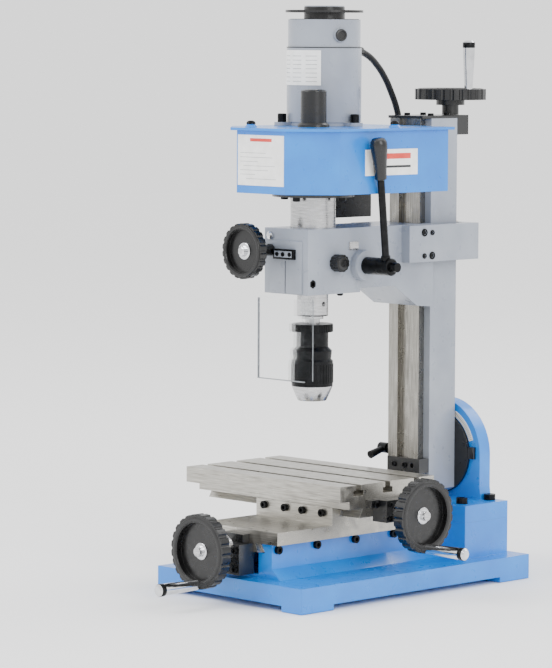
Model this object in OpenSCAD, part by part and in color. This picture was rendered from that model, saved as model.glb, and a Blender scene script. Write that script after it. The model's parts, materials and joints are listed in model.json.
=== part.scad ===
// Benchtop milling machine, in millimetres.
// +X is to the operator's right, +Y to the back, +Z up.
// The origin is on the bench, at the centre of the base plinth.

/* [Base] */
// Width of the base plinth along X
base_w = 222; // [200:1:260]
// Length of the base plinth along Y
base_l = 358; // [350:1:400]
// Height of the base plinth
plinth_h = 27; // [24:1:34]
// Height of the machined ways above the bench
way_z = 64.7; // [60:0.1:72]
// Half the width of the block that carries the ways
tier_half = 44; // [42:1:50]
// Height of the relief under the plinth between the feet
foot_relief = 6; // [3:1:8]
// Radius of the bolt holes under the feet
foot_hole_r = 3.4; // [2.5:0.1:4.5]
// Depth of the bolt holes under the feet
foot_hole_depth = 18; // [12:1:22]
// Distance of the foot bolts from the plinth's sides
foot_inset = 14; // [12:1:20]

/* [Saddle and table] */
// Thickness of the saddle's plate
saddle_t = 14; // [12:1:16]
// Side of the square block on the saddle
block_w = 117; // [108:1:124]
// Height of the block on the saddle
block_h = 19; // [18:1:24]
// Y of the saddle plate's front edge
saddle_front_y = -163; // [-170:1:-158]
// Length of the table along X
table_w = 240; // [220:1:280]
// Depth of the table along Y
table_d = 146; // [140:1:156]
// Thickness of the table's top plate
table_t = 17; // [15:1:20]
// Thickness of the layer under the table's top plate
under_t = 9; // [8:1:12]
// X of the table's centre at rest
table_x = -35.5; // [-37:0.5:-30]
// Distance between the table's T-slots
slot_pitch = 45; // [40:1:50]
// Width of the mouth of a T-slot
slot_w = 8; // [6:1:10]
// Radius of the two feed screws under the table
feed_screw_r = 5; // [4:0.5:6]

/* [Column] */
// Y of the column's front way face
way_face_y = 90; // [88:1:100]
// Height of the top of the column above the bench
column_top = 512; // [500:1:600]
// Half the width of the column's body
column_half = 26; // [24:1:30]
// Depth of the column's body along Y
column_d = 42; // [38:1:50]
// Depth of the dovetail in front of the column's body
way_d = 15; // [12:1:16]
// Height of the tilt pivot above the bench
pivot_z = 135; // [132:1:145]
// Radius of the graduated tilt disc
disc_r = 46.5; // [44:0.5:50]
// Radius of the arch behind the tilt disc
arch_r = 61; // [56:1:66]

/* [Head] */
// Distance from the spindle's axis to the column's way face
throat = 144; // [140:1:150]
// Half the width of the head casting
head_half = 33; // [31:1:36]
// Height of the head casting's underside above the bench
head_bottom = 325.5; // [320:0.5:340]
// Height of the head casting's block
head_h = 70.5; // [66:0.5:80]
// Radius of the quill
quill_r = 17; // [15:0.5:18]
// Radius of the housing above the head
housing_r = 24.5; // [23:0.5:28]
// Radius of the spindle in its bearings
spindle_r = 8; // [7:0.5:9]
// Pitch radius of the quill's pinion
pinion_r = 12.5; // [12:0.5:13]
// Length of the feed lever from its hub to the tip
lever_l = 144; // [110:1:170]
// Outward lean of the feed lever in degrees
lever_lean = 8; // [7:0.5:14]

/* [Belt housing] */
// Half the width of the belt housing
cover_half = 78; // [74:1:90]
// Height of the belt housing
cover_h = 67; // [62:1:80]
// Size of the belt housing's chamfered front corners
cover_chamfer = 41; // [36:1:44]
// Thickness of the belt housing's sheet
sheet_t = 2.5; // [2:0.5:3]
// Radius of the motor's body
motor_r = 41; // [38:0.5:42]
// Height of the motor's body
motor_h = 112; // [100:1:130]

/* [Handwheels] */
// Radius of the three feed handwheels
wheel_r = 40; // [36:1:42]
// Thickness of a feed handwheel's rim
wheel_t = 12; // [10:1:14]
// Radius of the fine feed handwheel
fine_r = 30; // [26:1:32]

/* [Fits] */
// Gap between faces that slide on each other
slide_gap = 0.3; // [0.2:0.05:0.5]
// Radial clearance of shafts in their bores
run_fit = 0.05; // [0.02:0.01:0.08]
// Clearance round parts that must not touch
free_gap = 1; // [0.5:0.1:2]

/* [Hidden] */
$fn = 64;
e = 0.01;
big = 2 * base_l;

// Levels of the sliding stack, upwards from the ways
saddle_z = way_z + slide_gap;
block_z = saddle_z + saddle_t;
under_z = block_z + block_h + slide_gap;
plate_z = under_z + under_t;
table_z = plate_z + table_t;
table_y = saddle_front_y + 140.5;
block_half = block_w / 2;
saddle_back_y = table_y + block_half + 9;

// Dovetails: half the root width, depth, and how far a flank leans out
tail_d = 10;
tail_lean = tail_d * tan(30);
x_root = 38.5;
y_root = 24;
gib_t = 3;
y_screw_z = saddle_z - 6;
x_screw_z = under_z - 6;
nut_half = 10;
y_nut_y = [-20, 0];
y_screw_end = 52;

// A female dovetail's depth, lean, and gap at its root, with its gib's room
female_d = tail_d + slide_gap;
female_lean = female_d * tan(30);
female_gap = 2 * slide_gap;
gib_room = gib_t + 0.1;

// Gib screws: radius, depth below the ways, and how far out the gib's back lies there
gib_screw_r = 2.5;
gib_screw_z = 6.5;
GIB_Y = [-149, -91, -32, 28];
GIB_X = [-45, -13, 14, 44];
function gib_back(root) = flank(root, gib_screw_z + gib_screw_r + slide_gap) + slide_gap + gib_t + 0.1;

// Base details
channel_w = 47.2;
channel_floor = 31;
tier_front_y = -157;
seat_half = 88;
seat_y = [98, 168];
seat_z = way_z + 2.3;
flange_t = 19;
flange_z = seat_z + flange_t;

// Column details
column_y = way_face_y + way_d;
column_back = column_y + column_d;
way_half = 23;
way_lean = way_d * tan(22);
channel_half = 9;
channel_d = 6;
disc_t = 3.5;
pivot_r = 10;
arch_y = column_back + disc_t + slide_gap;
foot_z = 117;
foot_h = 16;
clamp_y = column_y - 6;
clamp_z = pivot_z + 5;
clamp_r = 3.9;
clamp_end = 12;
cap_t = 3;
z_screw_y = column_back + 16.5;
z_screw_r = 6;
z_wheel_z = column_top + 20;

// Head details
spindle_y = way_face_y - throat;
head_top = head_bottom + head_h;
head_front = spindle_y - 40.5;
head_back = column_y - 2.7;
pinion_y = spindle_y + pinion_r + 27.5;
pinion_z = head_bottom + 29.5;
worm_x = -21.5;
worm_z = pinion_z + 17.5;
worm_r = 5;
fine_y = head_front - 37;
yoke_z = [355, 395.5];
yoke_half = head_half + 12;
yoke_y = [51, 163];
boss_x = head_half + 10;
lever_x = 73;
lever_rest = 14;
guard_x = -27;
guard_y = head_front + 9;
guard_pin_l = 12;
guard_low = head_bottom - 93.5;
rack_y = spindle_y + 26;

// Levels along the spindle, downwards from the head
housing_top = head_top + 34;
quill_top = head_top + 9;
quill_bottom = head_bottom - 24;
disc_top = quill_bottom - 10;
chuck_top = disc_top - 8.7;
sleeve_top = chuck_top - 16.3;
cone_top = sleeve_top - 42.5;
chuck_bottom = cone_top - 16;
chuck_r = 22.5;
core_r = 18;
jaw_r = 2.6;
jaw_lean = 15;
jaw_l = 26;
jaw_tip = 8.3;

// Belt housing details
cover_z = head_top + 38.5;
cover_top = cover_z + cover_h;
cover_front = spindle_y - 79;
cover_back = way_face_y - 14;
lid_t = 3;
lid_lip = 5;
lid_top = cover_top + lid_t;
motor_x = -36;
motor_y = spindle_y + 52;
flange_h = 4;
motor_z = lid_top + flange_h;
motor_top = motor_z + motor_h;
box_x = [-122, -cover_half];
box_y = [45, 117];
box_z = [head_top + 3, head_top + 74];
lead_r = 3.6;
button_r = 6.5;
button_z = 455;
gland_x = -101;
gland_z = 441;
BUTTON_X = [-110, -91];
LID_SCREWS = [[-32, cover_front + 16], [64, 6], [-60, cover_back - 12]];

// Route of the motor's lead, from the motor's back to the back of the switch box
LEAD = [[-36, 39, 586], [-36, 52, 586], [-37, 68, 581], [-39, 84, 571], [-41, 99, 557],
    [-43, 112, 540], [-45, 123, 522], [-49, 132, 504], [-56, 138, 486], [-67, 141, 470],
    [-80, 140.5, 457], [-92, 136.5, 447], [-99.5, 129.5, 442], [gland_x, 122, gland_z],
    [gland_x, 116.5, gland_z]];

// ---------- shared shapes ----------

// A box from its lowest to its highest corner
module block(x, y, z) {
    translate([x[0], y[0], z[0]])
        cube([x[1] - x[0], y[1] - y[0], z[1] - z[0]]);
}

// Round bars along each axis, from one end to the other
module bar_z(x, y, z, r) {
    translate([x, y, z[0]])
        cylinder(h = z[1] - z[0], r = r);
}

module bar_y(x, y, z, r) {
    translate([x, y[0], z])
        rotate([-90, 0, 0])
            cylinder(h = y[1] - y[0], r = r);
}

module bar_x(x, y, z, r) {
    translate([x[0], y, z])
        rotate([0, 90, 0])
            cylinder(h = x[1] - x[0], r = r);
}

// A dovetail along Y, wide side down, with its narrow side at z = 0
module tail_y(y, root, depth, lean, left = 0, right = 0) {
    translate([0, y[1], 0])
        rotate([90, 0, 0])
            linear_extrude(y[1] - y[0])
                polygon([[-root - left, 0], [root + right, 0],
                    [root + right + lean, -depth], [-root - left - lean, -depth]]);
}

// The same along X, with extra width on the front and back sides
module tail_x(x, root, depth, lean, front = 0, back = 0) {
    translate([x[0], 0, 0])
        rotate([90, 0, 90])
            linear_extrude(x[1] - x[0])
                polygon([[-root - front, 0], [root + back, 0],
                    [root + back + lean, -depth], [-root - front - lean, -depth]]);
}

// How far a dovetail's flank has leaned out at a depth below its narrow side
function flank(root, depth) = root + depth * tan(30);

// A leaning strip between a male dovetail's flank and its screws, seen along its length
module gib_outline(root) {
    polygon([for (c = [[slide_gap, slide_gap], [slide_gap, slide_gap + gib_t],
        [tail_d, slide_gap + gib_t], [tail_d, slide_gap]])
        [flank(root, c[0] + slide_gap) + c[1], -c[0]]]);
}

// A dished handwheel on +Z with its front face at z = 0, gripped by notches in the rim
module wheel(r, t, notches, notch_r, hub_r, hub_l, bore_r) {
    difference() {
        union() {
            translate([0, 0, -t])
                linear_extrude(t)
                    difference() {
                        circle(r);
                        for (i = [0:notches - 1])
                            rotate(360 / notches * i)
                                translate([r + notch_r * 0.4, 0])
                                    circle(notch_r, $fn = 24);
                    }
            translate([0, 0, -t - hub_l])
                cylinder(h = hub_l + e, r = hub_r);
        }
        translate([0, 0, -t * 0.55])
            cylinder(h = t, r = r * 0.78);
        translate([0, 0, -t - hub_l - e])
            cylinder(h = t + hub_l + 2 * e, r = bore_r);
    }
}

// A revolving grip on +Z, standing on z = 0
module grip(l, r_low, r_high) {
    rotate_extrude()
        polygon([[0, 0], [r_low, 0], [r_high, l * 0.7], [r_high, l - 2], [r_high - 2, l], [0, l]]);
}

// A socket head screw on +Z, with its head standing on z = 0
module cap_screw(r, head_r, head_h, shank_l) {
    difference() {
        union() {
            cylinder(h = head_h, r = head_r);
            translate([0, 0, -shank_l])
                cylinder(h = shank_l + e, r = r);
        }
        translate([0, 0, head_h * 0.45])
            cylinder(h = head_h, r = head_r * 0.55, $fn = 6);
    }
}

// Outline of the belt housing, grown by g
module cover_outline(g) {
    w = cover_half + g;
    c = cover_chamfer;
    f = cover_front - g;
    b = cover_back + g;
    polygon([[-w, b], [-w, f + c], [c - w, f], [w - c, f], [w, f + c], [w, b]]);
}

// A gear outline with straight-sided teeth, a little thin so that it runs free
module gear_outline(pitch_r, teeth, height) {
    half = 360 / teeth / 4;
    circle(pitch_r - height, $fn = 64);
    for (i = [0:teeth - 1])
        rotate(360 / teeth * i)
            polygon([[0, -pitch_r * sin(half)], [pitch_r - height, -pitch_r * sin(half * 0.95)],
                [pitch_r + height * 0.7, -pitch_r * sin(half * 0.45)],
                [pitch_r + height * 0.7, pitch_r * sin(half * 0.45)],
                [pitch_r - height, pitch_r * sin(half * 0.95)], [0, pitch_r * sin(half)]]);
}

// ---------- base ----------

module base_casting() {
    color("dodgerblue")
        difference() {
            union() {
                block([-base_w / 2, base_w / 2], [-base_l / 2, base_l / 2], [0, plinth_h]);
                block([-tier_half, tier_half], [tier_front_y, seat_y[0] + e], [plinth_h - e, way_z]);
                base_skirt();
                block([-seat_half, seat_half], seat_y, [plinth_h - e, seat_z]);
            }
            // reliefs between the four feet
            block([-base_w / 2 + 30, base_w / 2 - 30], [-base_l / 2 - e, base_l / 2 + e], [-e, foot_relief]);
            block([-base_w / 2 - e, base_w / 2 + e], [-base_l / 2 + 48, base_l / 2 - 48], [-e, foot_relief]);
            // female dovetail with room for the gib on the right, and the channel of the feed screw
            translate([0, 0, way_z])
                tail_y([tier_front_y - e, seat_y[0]], y_root + female_gap, female_d,
                    female_lean, 0, gib_room);
            block([-channel_w / 2, channel_w / 2], [tier_front_y - e, seat_y[0] - 6],
                [channel_floor, way_z + e]);
            gib_holes();
            foot_bolts() translate([0, 0, -e]) cylinder(h = foot_hole_depth, r = foot_hole_r);
            bracket_bolt_places() translate([0, 0, -22]) cylinder(h = 30, r = 4);
        }
}

// Sloping skirt between the tier and the plinth
module base_skirt() {
    for (side = [0, 1])
        mirror([side, 0, 0])
            translate([0, seat_y[0], 0])
                rotate([90, 0, 0])
                    linear_extrude(seat_y[0] - tier_front_y)
                        polygon([[tier_half - 4, plinth_h - 1], [tier_half + 14, plinth_h - 1],
                            [tier_half, plinth_h + 11]]);
}

module foot_bolts() {
    for (x = [-1, 1])
        for (y = [-1, 1])
            translate([x * (base_w / 2 - foot_inset), y * (base_l / 2 - foot_inset), 0])
                children();
}

module gib_holes() {
    for (y = GIB_Y)
        bar_x([y_root, tier_half + 1], y, way_z - gib_screw_z, gib_screw_r + run_fit);
}

module y_gib_screws() {
    color("black")
        for (y = GIB_Y)
            translate([tier_half, y, way_z - gib_screw_z])
                rotate([0, 90, 0])
                    cap_screw(gib_screw_r, 4.5, 4, tier_half - gib_back(y_root));
}

module bracket_bolt_places() {
    for (x = [-70, 70])
        for (y = [seat_y[0] + 14, seat_y[1] - 10])
            translate([x, y, seat_z])
                children();
}

// Rear casting: a flange on the base's seat, with the arch that the column tilts against
module column_bracket() {
    color("deepskyblue")
        difference() {
            union() {
                block([-seat_half, seat_half], seat_y, [seat_z, flange_z]);
                translate([0, seat_y[1], 0])
                    rotate([90, 0, 0])
                        linear_extrude(seat_y[1] - arch_y)
                            union() {
                                translate([0, pivot_z])
                                    circle(arch_r);
                                polygon([[-arch_r - 2, flange_z - 1], [arch_r + 2, flange_z - 1],
                                    [arch_r, flange_z + 14], [arch_r, pivot_z], [-arch_r, pivot_z],
                                    [-arch_r, flange_z + 14]]);
                            }
            }
            bar_y(0, [arch_y - 1, seat_y[1] + 1], pivot_z, pivot_r + run_fit);
            bracket_bolt_places() cylinder(h = 3 * flange_t, r = 4.3, center = true);
        }
}

// The bracket's four bolts, and the large one that the column tilts on, with its washer and nut
module bracket_bolts() {
    color("dimgray") {
        bracket_bolt_places() translate([0, 0, flange_t]) cap_screw(3.95, 6.5, 6.5, flange_t + 20);
        bar_y(0, [column_back - 8, seat_y[1] + 20], pivot_z, pivot_r);
        bar_y(0, [seat_y[1], seat_y[1] + 4], pivot_z, 2 * pivot_r);
        translate([0, seat_y[1] + 4 - e, pivot_z])
            rotate([-90, 0, 0])
                cylinder(h = 12, r = 1.7 * pivot_r, $fn = 6);
    }
}

// Degree plate beside the tilt disc and the pointer that reads against it
module tilt_scale() {
    color("white")
        translate([0, arch_y, pivot_z])
            rotate([90, 0, 0])
                intersection() {
                    difference() {
                        cylinder(h = 0.6, r = disc_r + 7);
                        translate([0, 0, -1]) cylinder(h = 3, r = disc_r + free_gap);
                    }
                    translate([0, 0, -1]) linear_extrude(3) polygon([[0, 0], [big, big / 3], [big / 2, big]]);
                }
    color("black")
        block([disc_r + free_gap, disc_r + 8], [arch_y - 4, arch_y], [pivot_z - 4, pivot_z + 9]);
}

module y_nut() {
    color("goldenrod")
        difference() {
            block([-nut_half, nut_half], y_nut_y, [channel_floor, y_screw_z + 7]);
            bar_y(0, [y_nut_y[0] - 1, y_nut_y[1] + 1], y_screw_z, feed_screw_r + run_fit);
        }
}

// ---------- saddle ----------

module saddle() {
    color("silver")
        difference() {
            union() {
                block([-block_half, block_half], [saddle_front_y, saddle_back_y], [saddle_z, block_z]);
                block([-block_half, block_half], [table_y - block_half, table_y + block_half],
                    [block_z - e, block_z + block_h]);
                translate([0, 0, saddle_z])
                    tail_y([saddle_front_y, saddle_back_y], y_root, tail_d, tail_lean);
            }
            // female dovetail of the table, with room for the gib at the front
            translate([0, table_y, block_z + block_h])
                tail_x([-big, big], x_root + female_gap, female_d, female_lean, gib_room, 0);
            // channel of the Y feed screw and its nut
            block([-nut_half - free_gap, nut_half + free_gap], [saddle_front_y - 1, saddle_back_y + 1],
                [saddle_z - tail_d - 1, y_screw_z + 8]);
            // room for the X feed screw over the groove's floor
            block([-big, big], [table_y - 8, table_y + 8], [block_z + block_h - tail_d - 4, block_z + block_h]);
            for (x = GIB_X)
                bar_y(x, [table_y - block_half - 1, table_y - x_root],
                    block_z + block_h - gib_screw_z, gib_screw_r + run_fit);
        }
}

module x_gib_screws() {
    color("black")
        for (x = GIB_X)
            translate([x, table_y - block_half, block_z + block_h - gib_screw_z])
                rotate([90, 0, 0])
                    cap_screw(gib_screw_r, 4.2, 3.6, block_half - gib_back(x_root));
}

module x_gib() {
    color("gray")
        translate([-block_half, table_y, block_z + block_h])
            rotate([90, 0, 90])
                linear_extrude(block_w)
                    mirror([1, 0])
                        gib_outline(x_root);
}

module y_gib() {
    color("gray")
        translate([0, seat_y[0] - 1, way_z])
            rotate([90, 0, 0])
                linear_extrude(seat_y[0] - 1 - tier_front_y)
                    gib_outline(y_root);
}

module y_bracket() {
    color("black")
        difference() {
            union() {
                block([free_gap - channel_w / 2, channel_w / 2 - free_gap],
                    [saddle_front_y - 22, saddle_front_y], [channel_floor + free_gap, saddle_z - 0.5]);
                block([-16, 16], [saddle_front_y - 10, saddle_front_y], [saddle_z - 2, saddle_z + 9]);
            }
            bar_y(0, [saddle_front_y - 23, saddle_front_y + 1], y_screw_z, feed_screw_r + run_fit);
        }
}

module x_nut() {
    color("goldenrod")
        difference() {
            block([-9, 9], [table_y - 7, table_y + 7], [block_z + block_h - tail_d - 4, under_z - 1.5]);
            bar_x([-10, 10], table_y, x_screw_z, feed_screw_r + run_fit);
        }
}

// The Y screw runs from its handwheel back through the nut in the base
module y_feed_screw() {
    color("lightgray")
        bar_y(0, [saddle_front_y - 62, y_screw_end], y_screw_z, feed_screw_r);
}

module y_dial() {
    color("silver")
        difference() {
            union() {
                bar_y(0, [saddle_front_y - 36, saddle_front_y - 22.3], y_screw_z, 15);
                bar_y(0, [saddle_front_y - 40, saddle_front_y - 35], y_screw_z, 12);
            }
            bar_y(0, [saddle_front_y - 41, saddle_front_y - 22], y_screw_z, feed_screw_r);
        }
}

module y_handwheel() {
    color("black")
        translate([0, saddle_front_y - 62, y_screw_z])
            rotate([90, 0, 0])
                difference() {
                    wheel(wheel_r, wheel_t, 24, 2.6, 13, 10, feed_screw_r);
                    translate([0, 5 - wheel_r, -wheel_t]) cylinder(h = 2 * wheel_t, r = 3);
                }
}

module y_handle() {
    color("lightgray")
        translate([0, saddle_front_y - 62, y_screw_z + 5 - wheel_r])
            rotate([90, 0, 0]) {
                translate([0, 0, 0.3]) grip(56, 5.4, 6.4);
                translate([0, 0, -wheel_t + 1]) cylinder(h = wheel_t, r = 2.95);
            }
}

// ---------- table ----------

module table() {
    x = [table_x - table_w / 2, table_x + table_w / 2];
    y = [table_y - table_d / 2, table_y + table_d / 2];
    color("gainsboro")
        difference() {
            union() {
                block(x, y, [plate_z, table_z]);
                block([x[0] + 6, x[1]], [y[0] + 14, y[1] - 14], [under_z, plate_z + e]);
                translate([0, table_y, under_z])
                    tail_x([x[0] + 6, x[1]], x_root, tail_d, tail_lean);
            }
            for (i = [-1:1])
                translate([0, table_y + i * slot_pitch, 0]) {
                    block([x[0] - 1, x[1] + 1], [-slot_w / 2, slot_w / 2], [table_z - 12, table_z + 1]);
                    block([x[0] - 1, x[1] + 1], [-slot_w / 2 - 3.5, slot_w / 2 + 3.5],
                        [table_z - 12, table_z - 6]);
                }
            // channel of the feed screw and its nut
            block([x[0] - 1, x[1] + 1], [table_y - 8.5, table_y + 8.5],
                [under_z - tail_d - 1, under_z + 1]);
        }
}

// Bearing brackets of the X screw at both ends of the table
module x_brackets() {
    x0 = table_x + table_w / 2;
    x1 = table_x - table_w / 2;
    top = plate_z - 0.2;
    color("black")
        difference() {
            union() {
                block([x0, x0 + 21], [table_y - 23, table_y + 23], [under_z - 15, top]);
                block([x0, x0 + 9], [table_y - 34, table_y + 34], [under_z + 1, top]);
                block([x1 - 4, x1 + 6], [table_y - 28, table_y + 28], [under_z - 12, top]);
            }
            bar_x([x1 - 5, x0 + 22], table_y, x_screw_z, feed_screw_r + run_fit);
        }
}

module x_feed_screw() {
    color("lightgray")
        bar_x([table_x - table_w / 2 - 3, table_x + table_w / 2 + 59], table_y, x_screw_z, feed_screw_r);
}

module x_dial() {
    x0 = table_x + table_w / 2 + 21;
    color("silver")
        difference() {
            union() {
                bar_x([x0 + 0.3, x0 + 12], table_y, x_screw_z, 15);
                bar_x([x0 + 11, x0 + 16], table_y, x_screw_z, 12);
            }
            bar_x([x0, x0 + 17], table_y, x_screw_z, feed_screw_r);
        }
}

module x_handwheel() {
    color("black")
        translate([table_x + table_w / 2 + 59, table_y, x_screw_z])
            rotate([0, 90, 0])
                difference() {
                    wheel(wheel_r, wheel_t, 24, 2.6, 13, 10, feed_screw_r);
                    translate([wheel_r - 5, 0, -wheel_t]) cylinder(h = 2 * wheel_t, r = 3);
                }
}

module x_handle() {
    color("lightgray")
        translate([table_x + table_w / 2 + 59, table_y, x_screw_z + 5 - wheel_r])
            rotate([0, 90, 0]) {
                translate([0, 0, 0.3]) grip(56, 5.4, 6.4);
                translate([0, 0, -wheel_t + 1]) cylinder(h = wheel_t, r = 2.95);
            }
}

// ---------- column ----------

module column() {
    color("lightsteelblue")
        intersection() {
            difference() {
                block([-column_half, column_half], [column_y, column_back], [pivot_z - 50, column_top]);
                block([8 - column_half, column_half - 8], [column_y + 8, column_back - 8],
                    [pivot_z + 45, column_top - 12]);
                bar_y(0, [column_back - 8.2, column_back + 1], pivot_z, pivot_r + run_fit);
            }
            union() {
                bar_y(0, [column_y - 1, column_back + 1], pivot_z, 46);
                block([-big, big], [0, big], [pivot_z, column_top + 1]);
            }
        }
}

// The machined dovetail on the column's front, with its central channel
module column_ways() {
    color("gainsboro")
        difference() {
            translate([0, column_y, foot_z + foot_h])
                linear_extrude(column_top - foot_z - foot_h)
                    polygon([[way_lean - way_half, 0], [-way_half, -way_d], [-channel_half, -way_d],
                        [-channel_half, channel_d - way_d], [channel_half, channel_d - way_d],
                        [channel_half, -way_d], [way_half, -way_d], [way_half - way_lean, 0]]);
            bar_x([-way_half - 1, -clamp_end], clamp_y, clamp_z, clamp_r + run_fit);
        }
}

module tilt_disc() {
    color("black")
        difference() {
            bar_y(0, [column_back, column_back + disc_t], pivot_z, disc_r);
            bar_y(0, [column_back - 1, column_back + disc_t + 1], pivot_z, pivot_r + run_fit);
        }
}

module column_foot() {
    color("black")
        difference() {
            block([-way_half, column_half], [way_face_y - 1, column_y], [foot_z, foot_z + foot_h]);
            bar_y(15, [way_face_y - 2, way_face_y + 4], foot_z + foot_h / 2, 3, $fn = 6);
        }
}

// Plate on top of the column, with the bearing block of the Z feed screw behind it
module column_cap() {
    color("black")
        difference() {
            union() {
                block([-column_half, column_half], [way_face_y, column_back], [column_top, column_top + cap_t]);
                block([-15, 15], [column_back, z_screw_y + 14], [column_top - 19, column_top + cap_t]);
            }
            bar_z(0, z_screw_y, [column_top - 20, column_top + cap_t + 1], z_screw_r + run_fit);
        }
}

// Clamp lever at the left of the column's foot
module column_clamp() {
    color("black")
        translate([0, clamp_y, clamp_z]) {
            bar_x([-way_half - 15, -clamp_end - 0.5], 0, 0, clamp_r);
            bar_x([-way_half - 20, -way_half - 8], 0, 0, 6);
            translate([-way_half - 14, 0, 0])
                rotate([-75, 0, 0])
                    translate([0, 0, -24])
                        cylinder(h = 22, r1 = 4.5, r2 = 3.5);
        }
}

module z_feed_screw() {
    color("lightgray")
        bar_z(0, z_screw_y, [head_bottom - 65, z_wheel_z + wheel_t], z_screw_r);
}

module z_handwheel() {
    color("black")
        translate([0, z_screw_y, z_wheel_z + wheel_t])
            difference() {
                union() {
                    wheel(wheel_r, wheel_t, 24, 2.6, 16, 6, z_screw_r);
                    translate([0, 0, -z_wheel_z - wheel_t + column_top + cap_t + 0.3])
                        difference() {
                            cylinder(h = z_wheel_z - column_top - cap_t - 6, r = 9.5);
                            translate([0, 0, -1]) cylinder(h = 40, r = z_screw_r);
                        }
                }
                rotate(-11) translate([wheel_r - 6, 0, -wheel_t]) cylinder(h = 2 * wheel_t, r = 3);
            }
}

module z_handle() {
    color("lightgray")
        translate([0, z_screw_y, z_wheel_z + wheel_t])
            rotate(-11)
                translate([wheel_r - 6, 0, 0]) {
                    translate([0, 0, 0.3]) grip(54, 4.6, 6.6);
                    translate([0, 0, -wheel_t + 1]) cylinder(h = wheel_t, r = 2.95);
                }
}

// ---------- head ----------

module head_casting() {
    color("lightsteelblue")
        difference() {
            union() {
                translate([-head_half, 0, 0])
                    rotate([90, 0, 90])
                        linear_extrude(2 * head_half)
                            polygon([[head_front, head_bottom], [pinion_y, head_bottom],
                                [pinion_y, head_bottom + 4.5], [39, head_bottom + 4.5],
                                [76, head_bottom - 19.5], [head_back, head_bottom - 22],
                                [head_back, head_top], [head_front, head_top]]);
                bar_x([0, boss_x], pinion_y, pinion_z, 16.5);
            }
            bar_z(guard_x, guard_y, [head_bottom - 1, head_bottom + guard_pin_l + 0.5], 2.5 + run_fit);
            bar_z(0, spindle_y, [head_bottom - 1, head_top + 1], quill_r + run_fit);
            // way of the rack bar behind the quill, and the chamber of the pinion
            block([-5.3, 5.3], [spindle_y, rack_y + 3], [head_bottom - 1, head_top - free_gap]);
            block([-7, 7], [rack_y, pinion_y + pinion_r + 4], [pinion_z - pinion_r - 4, pinion_z + pinion_r + 4]);
            // pinion shaft, and the worm's shaft and wheel above it
            bar_x([-head_half + 4, boss_x + 1], pinion_y, pinion_z, 6 + run_fit);
            bar_y(worm_x, [head_front - 1, pinion_y + 14], worm_z, 3 + run_fit);
            bar_y(worm_x, [pinion_y - 9, pinion_y + 9], worm_z, worm_r + free_gap);
            bar_x([worm_x - 5.5, worm_x + 5.5], pinion_y, pinion_z, 13.8);
            // column dovetail, open at the back
            translate([0, column_y, 0])
                linear_extrude(big)
                    polygon([[way_half - way_lean + 3, 1], [way_half + slide_gap * 1.2, -way_d - slide_gap],
                        [-way_half - slide_gap * 1.2, -way_d - slide_gap], [way_lean - way_half - 0.4, 1]]);
            bar_x([18, head_half + 1], -52.5, 359, 4 + run_fit);
            bar_x([head_half - 6, head_half + 1], head_front + 8, head_bottom + 12, 5, $fn = 6);
            // slit that clamps round the quill
            block([-0.8, 0.8], [head_front - 1, spindle_y], [head_bottom - 1, head_bottom + 36]);
        }
}

// Frame round the column that carries the Z nut behind it
module z_yoke() {
    color("lightsteelblue")
        difference() {
            block([-yoke_half, yoke_half], yoke_y, yoke_z);
            block([-head_half, head_half], [yoke_y[0] - 1, column_back + 4], [yoke_z[0] - 1, yoke_z[1] + 1]);
            bar_z(0, z_screw_y, [yoke_z[0] - 1, yoke_z[1] + 1], z_screw_r + 4);
        }
    // large and small screws, alternating, on both of its cheeks
    color("black")
        for (side = [-1, 1])
            for (p = [[74.5, 387.5, 4], [87, 387, 2.6], [74.5, 361.7, 2.6], [87, 361.7, 4]])
                translate([side * yoke_half, p[0], p[1]])
                    rotate([0, side * 90, 0])
                        difference() {
                            translate([0, 0, -e]) cylinder(h = 0.8, r = p[2]);
                            translate([0, 0, 0.3]) cylinder(h = 2, r = p[2] * 0.55, $fn = 6);
                        }
}

module z_nut() {
    color("goldenrod")
        difference() {
            union() {
                bar_z(0, z_screw_y, [yoke_z[0], yoke_z[1]], z_screw_r + 4);
                block([-16, 16], [yoke_y[1], yoke_y[1] + 14], [yoke_z[0] + 3, yoke_z[1] - 3]);
            }
            bar_z(0, z_screw_y, [yoke_z[0] - 1, yoke_z[1] + 1], z_screw_r + run_fit);
        }
}

// Raised plate on the head's front, with the bar across the slit
module front_plate() {
    color("lightsteelblue")
        difference() {
            block([-24, 25], [head_front - 1.5, head_front], [head_bottom + 1, head_top - 13]);
            bar_y(worm_x, [head_front - 2, head_front + 1], worm_z, 3 + free_gap);
            block([-0.8, 0.8], [head_front - 2, head_front + 1], [head_bottom, head_bottom + 36]);
        }
    color("black")
        difference() {
            block([-14, 16], [head_front - 6, head_front - 1.5], [head_bottom + 38, head_bottom + 48.5]);
            bar_y(0, [head_front - 7, head_front - 4], head_bottom + 43, 2.5);
        }
}

// Polished housing over the head that guides the top of the quill and carries the pulley's bearing
module quill_housing() {
    color("gainsboro")
        difference() {
            bar_z(0, spindle_y, [head_top, housing_top], housing_r);
            bar_z(0, spindle_y, [head_top - 1, quill_top + 6], quill_r + run_fit);
            bar_z(0, spindle_y, [quill_top + 5, housing_top + 1], 10 + run_fit);
        }
    color("black")
        difference() {
            bar_z(0, spindle_y, [housing_top, cover_z], 44);
            bar_z(0, spindle_y, [housing_top - 1, cover_z + 1], 10 + run_fit);
        }
}

module quill() {
    color("gainsboro")
        difference() {
            union() {
                bar_z(0, spindle_y, [quill_bottom, quill_top], quill_r);
                rack_bar();
            }
            bar_z(0, spindle_y, [quill_bottom - 1, quill_top + 1], spindle_r + 2);
            for (z = [quill_bottom, quill_top - 13])
                bar_z(0, spindle_y, [z - 1, z + 13], 14);
            bar_x([12, quill_r + 1], spindle_y, quill_bottom + 12, 2.6);
        }
}

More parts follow.
